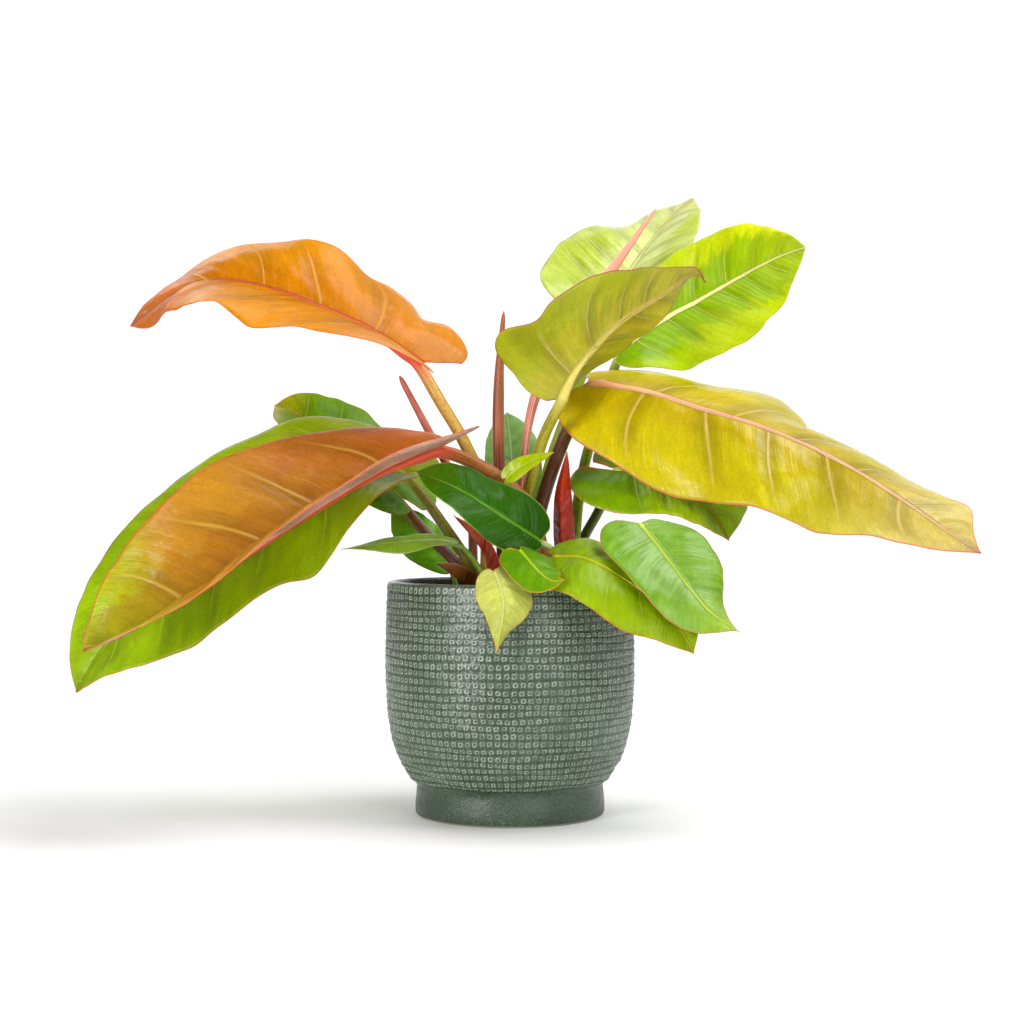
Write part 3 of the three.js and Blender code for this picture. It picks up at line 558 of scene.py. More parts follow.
def blade_surface(midrib, s, t, *, half, fold, droop, lobe, outline, wave, veins, seed, uneven=()):
    """The blade's middle surface. s runs from -1 at the left margin to 1, t is where the vein starts.

    It gives the points, the upper side, the distances from the midrib, the lengths of the side veins, and
    the panels between the main side veins, counted from the base. Each uneven place of the margin has a
    side, a t and a width there, a share by which the side vein is longer, and how far the margin lifts.
    """
    side = (s > 0).astype(int)
    reach = np.abs(s)
    turn_back = (np.where(side, lobe[1][1], lobe[1][0]) - VEIN_ANGLE) * np.exp(-t / lobe[2])
    angle = np.radians(VEIN_ANGLE + turn_back)
    share = side_vein(side, t, lobe, outline)
    ragged = 1 + 0.007 * np.sin(31 * t + 9 * seed + 2 * side) + 0.005 * np.sin(57 * t + 4 * seed)
    for which, at, width, longer, _ in uneven:
        ragged = ragged + longer * np.exp(-((t - at) / width)**2) * (side == which)
    length = np.maximum(share * np.where(side, half[1], half[0]) * ragged, TIP_WIDTH)
    along_rib = t * midrib.length
    place, ahead, right, up, rib_share = midrib.at(along_rib + reach * length * np.cos(angle))
    across = reach * length * np.sin(angle)
    lift = np.radians(np.where(side, along(fold[1], rib_share), along(fold[0], rib_share)))
    turn = -np.radians(np.where(side, droop[1], droop[0])) * reach - 1e-5
    sideways = (np.sin(lift + turn) - np.sin(lift)) / turn
    upwards = (np.cos(lift) - np.cos(lift + turn)) / turn
    depth, count, start = wave
    ripple = depth * reach**2 * np.sqrt(share) * np.sin(2 * np.pi * (count * t + start + 0.37 * side))
    # The skin swells between the side veins, least at the midrib, the margin and both ends.
    panel = (t - 0.05 * reach**2) * veins + 0.3 * side + 0.12 * np.sin(7 * t + seed + 2 * side)
    panel += 0.05 * np.sin(19 * t + 3 * s + 2 * seed)
    swell = np.abs(np.sin(np.pi * panel))**0.8
    swell = swell * np.sin(np.pi * reach**0.7) * np.minimum(t * 8, 1) * np.minimum((1 - t) * 5, 1)
    ripple += QUILT * np.minimum(length / 50, 1) * swell
    # A short blade has less of the small ripples and puckers.
    short = np.minimum(length / 30, 1)
    small = np.sin(23 * t + 5 * seed + 3 * s) + 0.6 * np.sin(41 * t + 11 * seed - 4 * s)
    ripple += RIPPLE * small * reach * short
    pucker = np.sin(along_rib / 5.3 + 1.5 * np.sin(across / 6.1 + seed)) * np.sin(across / 4.7 + 2.1 * seed)
    ripple += PUCKER * pucker * np.clip(across / 8, 0, 1) * short
    for which, at, width, _, raise_by in uneven:
        ripple += raise_by * reach**2 * np.exp(-((t - at) / width)**2) * (side == which)
    channel = across * (1 - np.exp(-across / CHANNEL))
    out = right * np.where(side, 1, -1)[..., None]
    middle = place + out * (across * sideways)[..., None] + up * (channel * upwards + ripple)[..., None]
    return middle, up, across, length, panel


def sheet_mesh(middle, up, thickness, ridge):
    """A closed sheet round a grid of points, with the ridge added below. Returns its points and faces."""
    rows, columns = middle.shape[:2]
    skin = np.cross(np.gradient(middle, axis=1), np.gradient(middle, axis=0))
    size = np.linalg.norm(skin, axis=-1, keepdims=True)
    skin = np.where(size > 1e-9, skin / np.maximum(size, 1e-9), up)
    faces_up = np.sum(skin * up) >= 0
    skin = skin if faces_up else -skin
    upper = middle + skin * (thickness / 2)[..., None]
    lower = middle - skin * (thickness / 2 + ridge)[..., None]
    index = np.arange(rows * columns).reshape(rows, columns)
    a, b, c, d = index[:-1, :-1], index[:-1, 1:], index[1:, 1:], index[1:, :-1]
    quads = np.stack([a, d, c, b] if faces_up else [a, b, c, d], -1).reshape(-1, 4)
    rim = np.concatenate([index[0, :-1], index[:-1, -1], index[-1, :0:-1], index[:0:-1, 0]])
    rim = rim[::-1] if faces_up else rim
    after = np.roll(rim, -1)
    edges = np.stack([after, rim, rim + rows * columns, after + rows * columns], -1)
    faces = np.concatenate([quads, quads[:, ::-1] + rows * columns, edges]).tolist()
    return np.concatenate([upper.reshape(-1, 3), lower.reshape(-1, 3)]), faces


def set_sheet_numbers(sheet, t, s, panel, across, edge, under):
    """The numbers for the finish of both faces. under is 1 where the lower face has a finish of its own."""
    rows = {"along": t, "across": s, "panel": panel, "rib_mm": across, "edge_mm": edge}
    on_both_faces = {name: [row, row] for name, row in rows.items()}
    set_numbers(sheet, under=np.repeat([0, under], t.size), **on_both_faces)


def beneath_gloss(colour):
    """The skin's own colour, deeper than on the card, because a veil of reflected light lies over it."""
    return tuple(max(part * 1.02 - 0.03, 0.0015) for part in colour[:3]) + (1,)


def paint(code):
    """A colour for a shader from its code on a colour card."""
    parts = [int(code[i:i + 2], 16) / 255 for i in (0, 2, 4)]
    return tuple(p / 12.92 if p < 0.04045 else ((p + 0.055) / 1.055)**2.4 for p in parts) + (1,)


def skin_paints(sockets, codes):
    return {socket: beneath_gloss(paint(code)) for socket, code in zip(sockets, codes.split())}


def shaded(colour, light):
    return node(colour.tree, "ShaderNodeHueSaturation", {"Value": light, "Color": colour})


def new_skin(name, colours, numbers, results):
    """A group with colours and numbers going in, and a colour and other results coming out."""
    tree = bpy.data.node_groups.new(name, "ShaderNodeTree")
    sockets = [(colour, "INPUT", "Color") for colour in colours] + [(n, "INPUT", "Float") for n in numbers]
    sockets += [("Color", "OUTPUT", "Color")] + [(result, "OUTPUT", "Float") for result in results]
    for socket, way, kind in sockets:
        tree.interface.new_socket(socket, in_out=way, socket_type="NodeSocket" + kind)
    return tree, tree.nodes.new("NodeGroupInput").outputs, tree.nodes.new("NodeGroupOutput")


def leaf_skin():
    """The group that turns the places on a blade into its colour, roughness and fine relief."""
    tree, given, result = new_skin("leaf skin", LEAF_COLOURS, LEAF_NUMBERS, ("Roughness", "Height"))
    place = place_in(tree)
    t, s, rib, edge, under, phase = (number(tree, name) for name in
                                     ("along", "across", "rib_mm", "edge_mm", "under", "panel"))

    def cloud(scale, detail=2.0):
        values = {"Vector": place, "W": given["seed"], "Scale": scale, "Detail": detail}
        return node(tree, "ShaderNodeTexNoise", values, noise_dimensions="4D")

    # The ground colour runs from the base through the middle to the tip, with cloudy borders.
    tone = t + (cloud(16) * 0.5 - 0.25)
    colour = mixed(step(tone, 0.0, 0.45), given["Base"], given["Middle"])
    colour = mixed(step(tone, 0.55, 1.0), colour, given["Tip"])

    # The skin's fine lines and streaks run along the side veins, so they keep their place on the midrib.
    reach = maths("ABSOLUTE", s)
    bend = reach * reach * -0.05 + t

    def drawn_out(fine, wide, roughness):
        values = {"X": bend * fine, "Y": s * wide, "Z": given["seed"]}
        return noise(node(tree, "ShaderNodeCombineXYZ", values), 1.0, 3, roughness)

    lines = drawn_out(190.0, 3.0, 0.6)
    streaks = drawn_out(26.0, 1.6, 0.55)
    blotch = cloud(26, 3) * 0.5 + streaks * 0.5
    near_rib = step(rib, 40.0, 2.0) * 0.3 - 0.12
    patch = step(blotch + near_rib, 0.45, 0.6) * given["patches"]
    colour = mixed(patch, colour, given["Patch"])
    light = (lines * 0.55 + 0.72) * (blotch * 1.2 + 0.4) * (cloud(450) * 0.5 + 0.75)
    colour = shaded(colour, light)

    # Side veins: painted shade in the fold by each vein, and a fine line of its colour, fading towards the
    # margin.
    off_vein = maths("PINGPONG", phase, 0.5)
    fade = step(reach, 1.0, 0.5) * step(t, 0.0, 0.06)
    shadow = step(off_vein, 0.3, 0.02) * fade
    colour = mixed(shadow * given["vein_strength"], colour, shaded(colour, 0.6))
    vein = step(off_vein, 0.045, 0.0) * 0.9 * fade
    colour = mixed(vein * given["vein_strength"], colour, given["Vein"])

    # The midrib narrows from the stalk to the tip, and painted shade darkens the groove down both of its
    # sides.
    beside = rib - (maths("POWER", 1.02 - t, 0.7) * given["rib_width"] + 0.25)
    groove = step(beside, 1.1, 0.2) * step(beside, -0.5, 0.1)
    colour = mixed(groove * 0.25, colour, shaded(colour, 0.45))
    rib_paint = mixed(step(tone, 0.1, 0.95), given["Midrib"], given["Midrib tip"])
    colour = mixed(step(beside, 0.35, -0.35), colour, rib_paint)

    # The margin is a thin line of its own colour, stronger in some places than in others.
    margin = step(edge - given["margin_width"], 0.5, -0.3) * step(cloud(30), 0.25, 0.5)
    colour = mixed(margin, colour, given["Margin"])
    colour = mixed(step(cloud(520), 0.66, 0.74) * given["specks"], colour, DRY_SPECK)

    # The lower side is paler and duller, with painted shade by the side veins, which stand out with the
    # midrib.
    below = mixed(patch, given["Underside"], given["Patch"])
    below = shaded(below, light * (shadow * -0.25 + 1.05))
    below = mixed(vein * 0.4, below, given["Vein"])
    below = mixed(step(beside, 1.2, 0.2), below, rib_paint)
    below = mixed(margin, below, given["Margin"])

    between = maths("PINGPONG", phase * 5.0, 0.5) * fade
    height = lines * 0.35 - vein * 0.6 + between * 0.5 + cloud(75, 3) * 1.1 - groove * 0.8
    height += cloud(700) * 0.12
    rough = lines * 0.2 + 0.13 + under * 0.22
    connect(result, {"Color": mixed(under, colour, below), "Roughness": rough, "Height": height})
    return tree


def stalk_skin():
    """The group that turns the places on a stalk into its colour and ridges."""
    tree, given, result = new_skin("stalk skin", STALK_COLOURS, ("specks",), ("Height",))
    place = place_in(tree)
    share = number(tree, "along")
    cloudy = share + (noise(place, 45) * 0.5 - 0.25)
    colour = mixed(step(cloudy, 0.1, 0.9), given["Low"], given["High"])
    lines_at = node(tree, "ShaderNodeCombineXYZ", {"X": share * 2.0, "Y": number(tree, "turn") * 9.0})
    lines = noise(lines_at, 1.0, 4, 0.65)
    colour = mixed(step(lines, 0.48, 0.62) * 0.75, colour, given["Line"])
    specks_at = node(tree, "ShaderNodeMapping", {"Vector": place, "Scale": (1, 1, 0.35)})
    speck = step(noise(specks_at, 1300, 1), 0.6, 0.68)
    colour = mixed(speck * given["specks"], colour, given["Line"])
    colour = mixed(step(share, 0.9, 1.06), colour, given["End"])
    connect(result, {"Color": colour, "Height": speck * 0.35 + lines})
    return tree


LEAF_SKIN = leaf_skin()
STALK_SKIN = stalk_skin()


def leaf_material(name, colours, numbers, gloss=0.28, relief=0.9):
    """A leaf's finish. The codes of colours follow LEAF_COLOURS, and numbers change LEAF_NUMBERS."""
    material, shader = new_material("leaf_" + name, {"Specular IOR Level": gloss})
    tree = material.node_tree
    values = skin_paints(LEAF_COLOURS, colours)
    skin = node(tree, "ShaderNodeGroup", values | LEAF_NUMBERS | numbers, node_tree=LEAF_SKIN)
    connect(shader, {"Base Color": skin["Color"], "Roughness": skin["Roughness"],
                     "Normal": bumps(skin["Height"], relief, 0.001)})
    glow = node(tree, "ShaderNodeBsdfTranslucent", {"Color": values["Middle"]})
    both = node(tree, "ShaderNodeMixShader", {0: LIGHT_THROUGH, 1: shader.outputs[0], 2: glow})
    connect(tree.nodes["Material Output"], {"Surface": both})
    return material


def stalk_material(name, colours, specks=0.7, roughness=0.36):
    """A stalk's finish: colours at its foot and its top, of its lines and specks, and under the blade."""
    material, shader = new_material("stalk_" + name, {"Roughness": roughness, "Specular IOR Level": 0.4})
    values = skin_paints(STALK_COLOURS, colours) | {"specks": specks}
    skin = node(material.node_tree, "ShaderNodeGroup", values, node_tree=STALK_SKIN)
    connect(shader, {"Base Color": skin["Color"], "Normal": bumps(skin["Height"], 0.45, 0.0009)})
    return material


def add_tube(name, line, radii, share, material, replaced, groove=0.12):
    """A round tube along a line, with a shallow groove down one side."""
    ahead = unit(np.gradient(line, axis=0))
    side = unit(np.cross(ahead[0], (0.3, 1.0, 0.2)))
    turn = np.linspace(0, 2 * np.pi, TUBE_SIDES, endpoint=False)
    rings = [np.repeat(line[:1], TUBE_SIDES, 0)]
    for place, forward, radius in zip(line, ahead, radii):
        side = unit(side - forward * np.dot(side, forward))
        other = np.cross(forward, side)
        out = radius * (1 - groove * np.exp(-((turn - np.pi) / 0.4)**2))
        rings.append(place + (out * np.cos(turn))[:, None] * side + (out * np.sin(turn))[:, None] * other)
    rings.append(np.repeat(line[-1:], TUBE_SIDES, 0))
    tube = ringed_object(name, rings)
    share = np.concatenate([share[:1], share, share[-1:]])
    there_and_back = 1 - np.abs(turn / np.pi - 1)
    set_numbers(tube, along=np.repeat(share, TUBE_SIDES), turn=np.tile(there_and_back, len(rings)))
    place_piece(tube, material, replaced)


def grow_stalk(name, midrib, stalk, ridge, material):
    """The stalk rises from the soil, meets the blade's base from below and runs out into the midrib."""
    (x, y), path, (low, high) = stalk
    start, _, _, up, _ = midrib.at(np.array([0.0, 0.06, 0.15, 0.26]) * midrib.length)
    sunk = np.array([high * 0.9, high * 0.62, ridge * 0.45, ridge * 0.3])[:, None]
    under_blade = start - up * (sunk + BLADE_THICK * 0.3)
    knots = [(x, y, STALK_FOOT), (x, y, STALK_COLLAR), *path, *under_blade]
    line = smooth_line(np.linspace(0, 1, STALK_RINGS), knots)
    height = np.concatenate([[0], np.cumsum(np.linalg.norm(np.diff(line, axis=0), axis=1))])
    height /= height[-1]
    meets = height[np.argmin(np.linalg.norm(line - under_blade[0], axis=1))]
    body = np.minimum(height / meets, 1)
    radii = (low + (high - low) * body) * (1 + 0.3 * np.exp(-((body - 0.02) / 0.06)**2))
    past = np.clip((height - meets) / (1 - meets), 0, 1)
    radii = radii * (1 - past) + (0.35 * ridge) * past
    radii[past > 0.96] *= 0.5
    add_tube("leafstalk_" + name, line, radii, body + past, material, "stalk_" + name)


def grow_leaf(name, *, seed, half, droop, ridge, wave, rib, face, fold, lobe, outline, stalk, colours,
              stalk_colours, gloss=0.28, veins=5, uneven=(), **numbers):
    """A blade on its stalk.

    rib is the line of the midrib, and face is where the upper side looks, once or at the base and the tip.
    half has the widths from midrib to margin, and of each pair the first is for the left side. fold is how
    far each side folds up from base to tip, and droop how far it bends down again, in degrees. lobe has the
    widths at the base, the angles of the first veins and how soon they turn; outline has the place of the
    widest part and the roundness towards the tip; wave has the margin's depth, count and start. The stalk
    has its foot in the soil, the points it runs through and both end radii.
    """
    midrib = Midrib(rib, np.reshape(face, (-1, 3)))
    widest = max(half)
    rows, columns = next(mesh for over, *mesh in BLADE_MESHES if widest > over)
    t = np.linspace(0, 1, rows + 1)**1.25
    s = np.linspace(-1, 1, columns + 1)
    s = np.sign(s) * (0.35 * np.abs(s) + 0.65 * np.abs(s)**1.5)
    s, t = np.meshgrid(s, t)
    middle, up, across, length, panel = blade_surface(
        midrib, s, t, half=half, fold=fold, droop=droop, lobe=lobe, outline=outline, wave=wave, veins=veins,
        seed=seed, uneven=uneven)
    edge = np.minimum((1 - np.abs(s)) * length, t * midrib.length + 0.05)
    thickness = BLADE_THICK * (MARGIN_THICK + (1 - MARGIN_THICK) * np.clip(edge / THIN_WITHIN, 0, 1))
    taper = np.clip(t / 0.1, 0, 1) * (1 - t)**0.7
    bell = np.exp(-(across / (0.5 + 1.5 * taper))**2)
    crest = (MIDRIB_CREST * taper * bell)[..., None]
    points, faces = sheet_mesh(middle + up * crest, up, thickness, ridge * taper * bell)
    blade = new_object("leaf_" + name, points * MM, faces)
    set_sheet_numbers(blade, t, s, panel, across, edge, under=1)
    relief = 0.9 * min(widest / 55, 1)  # a small leaf is finer in its relief as well
    finish = leaf_material(name, colours, numbers | {"seed": seed}, gloss, relief)
    place_piece(blade, finish, "blade_" + name)
    under_blade = colours.split()[LEAF_COLOURS.index("Midrib")]
    grow_stalk(name, midrib, stalk, ridge, stalk_material(name, stalk_colours + " " + under_blade))


# The orange leaves at the left are the newest open ones. One rises over the pot's edge, its tip hanging,
# and the other slopes down in front of it, edge-on in its near half.
grow_leaf(
    "orange_high_left", seed=1, half=(73, 53), droop=(12, 29), ridge=3, wave=(3.9, 3.1, -0.05), gloss=0.13,
    rib=[(-57, 0, 289), (-83, -4, 306), (-109, -6, 319), (-147, -4, 334), (-184, 2, 342), (-214, 8, 336),
         (-247, 14, 314)],
    face=(0.1, -0.75, 0.65), fold=((51, 42, 32, 35, 31), (4, 3, 23, -4, -9)),
    lobe=((0.55, 1.15), (119, 139), 0.14), outline=(0.34, 2.1, 1),
    stalk=((-16, 18), [(-16, 14, 201), (-28, 4, 235), (-46, 0, 266)], (4.3, 3.9)),
    uneven=((1, 0.17, 0.035, 0.08, 2), (1, 0.1, 0.02, -0.12, -3), (1, 0.03, 0.03, -0.02, 0),
            (0, 0.32, 0.04, 0.06, -4), (0, 0.24, 0.03, 0, 3), (0, 0.41, 0.03, 0, 3)),
    colours="d68c10 da9210 cc642c c87a10 f2b654 f4705a e88060 e0705c d8a060",
    stalk_colours="bc9c40 cca454 944424", patches=0.5, specks=0.3,
)
grow_leaf(
    "orange_low_left", seed=2, half=(64, 64), droop=(9, 8), ridge=3.2, wave=(3.9, 1.3, 0.36), gloss=0.32,
    rib=[(-43, -32, 234), (-77, -46, 220), (-112, -60, 198), (-149, -74, 173), (-184, -85, 148),
         (-224, -94, 123), (-251, -98, 111)],
    face=(-0.1, -0.6, 0.8), fold=((44, 50, 49, 37, 45), (5, 26, 39, 38, 46)),
    lobe=((0.72, 0.41), (148, 120), 0.09), outline=(0.4, 2.7, 0.98),
    stalk=((25, -14), [(16, -22, 188), (1, -28, 208), (-21, -31, 223)], (5, 4.2)),
    uneven=((0, 0.65, 0.12, -0.015, 0),),
    colours="c07042 c8903c acd814 a0602c ecc458 f06a50 ee8a62 f06a50 fcd4c4",
    stalk_colours="a8703a b47438 6c3018", patches=0.5, rib_width=1.8, vein_strength=0.55, margin_width=0.7,
)

# The yellow leaf at the right is a little older. It reaches straight out on a thick brown stalk and bends
# down, with a coral midrib and a pale tip.
grow_leaf(
    "yellow_right", seed=8, half=(78, 63), droop=(21, 16), ridge=3.4, wave=(4.2, 3.2, 0.35), gloss=0.34,
    rib=[(51, -8, 275), (84, -18, 270), (119, -31, 258), (155, -44, 246), (196, -55, 227), (232, -61, 205),
         (267, -66, 180), (285, -68, 168)],
    face=(0.1, -0.88, 0.45), fold=((-34, -31, -35, -32, 14), (4, -6, 6, -22, 14)),
    lobe=((0.61, 0.57), (114, 152), 0.16), outline=(0.31, 1.7, 1.04),
    stalk=((14, -9), [(15, -9, 172), (22, -8, 204), (32, -5, 233), (43, -4, 258)], (4.8, 4.4)),
    uneven=((0, 0.29, 0.045, 0.13, 0), (0, 0.42, 0.035, -0.16, -2), (0, 0.89, 0.05, 0.35, 0),
            (1, 0.31, 0.05, -0.05, 0), (1, 0.7, 0.07, -0.1, 0)),
    colours="d4c020 cabc28 e4d888 b08c1c ecca70 f2ac84 eebc98 e87e5e d8cc70",
    stalk_colours="6a4434 744e36 38221a", patches=0.45, veins=6, vein_strength=0.7, rib_width=1.9,
    margin_width=0.7,
)

# The lime leaves stand high at the back right, and an olive one in front of them shows its lower side. They
# are half grown: their skin is thin and bright, with pale veins and dark patches along one midrib.
grow_leaf(
    "lime_high_back", seed=5, half=(67, 52), droop=(18, 13), ridge=2.8, wave=(3.4, 2.8, -0.02), gloss=0.5,
    rib=[(65, 89, 322), (76, 101, 347), (90, 117, 370), (108, 137, 395), (133, 159, 423)],
    face=((-0.1, -0.85, 0.5), (-0.1, -0.7, 0.7)), fold=((34, 7, 8, -13, -21), (19, 23, 37, 38, 30)),
    lobe=((0.75, 0.82), (101, 160), 0.09), outline=(0.22, 2.1, 1.04),
    stalk=((17, 17), [(22, 32, 206), (41, 62, 266)], (4, 3.2)),
    uneven=((0, 0.65, 0.12, -0.03, 0),),
    colours="b8ca50 c0ce58 d0d464 e6ecaa ecf2bc e8e0a4 e8dc94 d8a484 d2dc98",
    stalk_colours="a4b43c a8c040 6c7c20", patches=0.4, veins=6, rib_width=1.4,
)
grow_leaf(
    "lime_high_right", seed=6, half=(51, 45), droop=(21, 24), ridge=2.8, wave=(2.4, 3.4, -0.02), gloss=0.13,
    rib=[(74, 40, 301), (103, 50, 322), (128, 58, 336), (157, 65, 353), (181, 69, 366), (202, 72, 374)],
    face=(-0.2, -0.92, 0.35), fold=((5, 0, 0, 13, 28), (30, -16, -8, -12, -12)),
    lobe=((0.82, 0.51), (160, 156), 0.07), outline=(0.32, 2.2, 1.01),
    stalk=((39, 5), [(45, 13, 204), (58, 32, 256)], (4.2, 3.2)),
    colours="b0cc10 c8d818 ece834 689c0c e8ec60 f8f4a8 f8ee9c e4d870 b8cc60",
    stalk_colours="8ca42e a0b832 566c18", patches=0.65, veins=7, vein_strength=0.4, rib_width=1.7,
)
grow_leaf(
    "olive_high_front", seed=7, half=(45, 56), droop=(8, 7), ridge=2.8, wave=(3.3, 2.3, 0.37), gloss=0.45,
    rib=[(31, -38, 263), (39, -42, 278), (50, -46, 292), (68, -50, 310), (93, -50, 326), (110, -45, 339),
         (117.5, -38, 341), (122, -36, 336)],
    face=(-0.3, 0.85, 0.4), fold=((60, 52, 36, 30, 30), (40, -8, -12, -14, -26)),
    lobe=((0.57, 0.3), (107, 123), 0.12), outline=(0.12, 1.6, 1.5),
    stalk=((4, -3), [(6, -8, 175), (12, -18, 207), (21, -28, 239)], (4.2, 3.6)),
    uneven=((1, 0.05, 0.03, -0.12, 0), (1, 0.16, 0.035, -0.13, -1)),
    colours="c8b890 ccbc98 d0c09c c8a840 e4dc90 d8c868 d4b860 b05848 acb42c",
    stalk_colours="9c9636 aea63c 645a18", patches=0.35, veins=6, vein_strength=0.6, rib_width=1.5,
)

# The green leaves are the oldest. They hang outwards all round, low over the pot's rim, with orange or pink
# margins where they were the last to turn.
grow_leaf(
    "green_low_left", seed=3, half=(63, 67), droop=(16, 13), ridge=3.2, wave=(3, 1.3, 0.19), gloss=0.22,
    rib=[(-66, -8, 218), (-98, -14, 218), (-133, -21, 208), (-179, -26, 177), (-226, -27, 138),
         (-255, -24, 108), (-274, -20, 79)],
    face=(-0.2, -0.65, 0.75), fold=((34, -14, 2, -3, 30), (0, 25, 21, 22, 34)),
    lobe=((0.39, 0.7), (131, 159), 0.07), outline=(0.33, 2.3, 0.94),
    stalk=((-15, -8), [(-20, -10, 150), (-46, -10, 190)], (4, 3.3)),
    uneven=((0, 0.24, 0.05, 0.12, 0), (1, 0.2, 0.06, -0.07, 0), (1, 0.88, 0.06, -0.03, 0)),
    colours="a8c418 9cbc14 b0d81c 7c8414 d4e044 b4bc34 d0d848 d08438 b4c458",
    stalk_colours="7c7038 8a8430 4c3418", patches=0.45, veins=6, rib_width=1.4, margin_width=0.6,
)
grow_leaf(
    "green_back_left", seed=4, half=(37, 40), droop=(24, 17), ridge=2.6, wave=(2.6, 1.7, 0.22), gloss=0.12,
    rib=[(-72, 25, 203), (-98, 38, 226), (-124, 52, 245), (-145, 64, 260), (-161, 74, 266)],
    face=(0.35, -0.5, 0.75), fold=((10, 10, 11, 11, 10), (12, 14, 20, 34, 46)),
    lobe=((0.82, 0.82), (160, 160), 0.09), outline=(0.34, 2.2, 1.04),
    stalk=((-24, -3), [(-28, 0, 152), (-55, 13, 180)], (4.2, 3.4)),
    colours="84b428 709c04 c8b81c 4c7c08 a4bc38 98a038 c89848 c08030 88a850",
    stalk_colours="785050 84583c 482c28", patches=0.4, rib_width=1.2,
)
grow_leaf(
    "green_right", seed=9, half=(47, 46), droop=(21, 17), ridge=2.4, wave=(4.2, 1.2, -0.11), gloss=0.4,
    rib=[(68, 0, 220), (89, -8, 217), (113, -15, 207), (128, -19, 192), (138, -22, 175)],
    face=((0.1, -0.75, 0.65), (0.3, -0.7, 0.62)), fold=((9, 10, 13, 21, 14), (13, 11, 25, 35, 28)),
    lobe=((0.82, 0.92), (160, 172), 0.07), outline=(0.32, 2, 1.16),
    stalk=((36, 18), [(44, 21, 166), (58, 15, 194)], (3.8, 3.2)),
    colours="88b41c a8c81c b8cc2c 548810 d4e06c c8cc50 dc9460 d86650 a0b850",
    stalk_colours="545c1c 667022 2c280e", patches=0.45, rib_width=1.5,
)
grow_leaf(
    "green_front_right", seed=10, half=(31, 33), droop=(17, 15), ridge=2.2, wave=(2.5, 1.3, 0.49),
    gloss=0.36,
    rib=[(79, -62, 186), (93, -77, 167), (107, -91, 147), (118, -98, 134), (134, -104, 123)],
    face=(0.3, -0.85, 0.42), fold=((2, 24, 18, -14, -20), (3, 7, 6, 0, 4)),
    lobe=((0.6, 0.89), (97, 130), 0.13), outline=(0.27, 1.8, 1.16),
    stalk=((34, -30), [(46, -38, 152), (66, -50, 178)], (3, 2.2)),
    colours="78a838 7ca834 a8c42c 98b868 a8cc60 b8d250 bcd24c d08858 98c060",
    stalk_colours="788c30 88a036 4c5a1c", patches=0.3, vein_strength=0.15, rib_width=1.2,
)
grow_leaf(
    "green_rim_right", seed=11, half=(35, 32), droop=(20, 15), ridge=2.2, wave=(2.8, 1.3, -0.25), gloss=0.2,
    rib=[(27, -66, 166), (48, -80, 164), (77, -90, 146), (94, -92, 133), (109, -90, 109)],
    face=(0.2, -0.8, 0.55), fold=((-1, -21, -1, 10, 19), (7, 3, 6, 3, 11)),
    lobe=((0.51, 0.78), (155, 160), 0.1), outline=(0.32, 2.2, 1.1),
    stalk=((24, -36), [(24, -40, 138), (24, -54, 156)], (2.8, 2)),
    colours="90ae0c a0bc10 b8c81c 78980c bccc48 b8bc38 c8b838 d87c38 98b050",
    stalk_colours="827c38 8a8a38 4c4818", patches=0.4, vein_strength=0.35, rib_width=1.1,
)
grow_leaf(
    "dark_front", seed=12, half=(20, 23), droop=(10, 9), ridge=2, wave=(3, 1.4, 0.61), gloss=0.13,
    rib=[(19, -50, 175), (-6, -60, 191), (-30, -61, 206), (-57, -53, 218)],
    face=(0.1, -0.85, 0.5), fold=((17, -4, 2, 19, 11), (14, 8, -2, 15, 14)),
    lobe=((0.3, 0.86), (134, 103), 0.1), outline=(0.29, 2.3, 0.99),
    stalk=((20, -27), [(26, -34, 152), (26, -42, 169)], (2.6, 2.1)),
    colours="446804 4c7804 70a01c 285004 589420 64982c 78a844 a8b868 68984c",
    stalk_colours="d4ca9c c8d092 8c8c5a", patches=0.3, veins=6, vein_strength=0.25, rib_width=0.9,
)

# The small leaves stand on thin stalks among the others, in front of the rim and at the back.
grow_leaf(
    "small_front", seed=13, half=(18, 17), droop=(25, 10), ridge=1.6, wave=(2.4, 1.3, 0.68), gloss=0.16,
    rib=[(6, -74, 170), (13, -85, 162), (20, -92, 155), (26, -96, 152), (32, -98, 153)],
    face=((0.1, -0.9, 0.4), (0, -0.9, 0.4)), fold=((-16, -12, -28, -22, -8), (-4, -2, 2, 14, 34)),
    lobe=((0.69, 0.81), (152, 148), 0.09), outline=(0.29, 1.9, 1.19),
    stalk=((6, -30), [(8, -42, 147), (7, -59, 164)], (2.2, 1.4)),
    colours="6c980c 749c10 98b01c 5c900c a8c83c a8c838 bcc444 c8a040 90b04c",
    stalk_colours="86963e 90b038 546020", patches=0.4, vein_strength=0.2, rib_width=0.7,
)
grow_leaf(
    "pale_hanging", seed=14, half=(22, 17), droop=(30, 16), ridge=1.6, wave=(2.8, 1.4, 0.61), gloss=0.32,
    rib=[(-9, -82, 157), (-5, -91, 147), (-4, -95, 135), (-6, -96, 122), (-8, -95, 110)],
    face=(0, -0.95, 0.3), fold=((-12, -14, -16, -36, -26), (-6, -4, 0, 0, 0)),
    lobe=((0.59, 0.59), (143, 152), 0.1), outline=(0.24, 1.4, 1.36),
    stalk=((2, -38), [(-2, -48, 148), (-7, -68, 157)], (2, 1.6)),
    colours="ecdc98 e4d880 ccd05c a8c040 dce490 d4d680 d0d078 d89850 d0d890",
    stalk_colours="bab060 c8c870 7c7438", patches=0.6, vein_strength=0.08, rib_width=0.5,
)
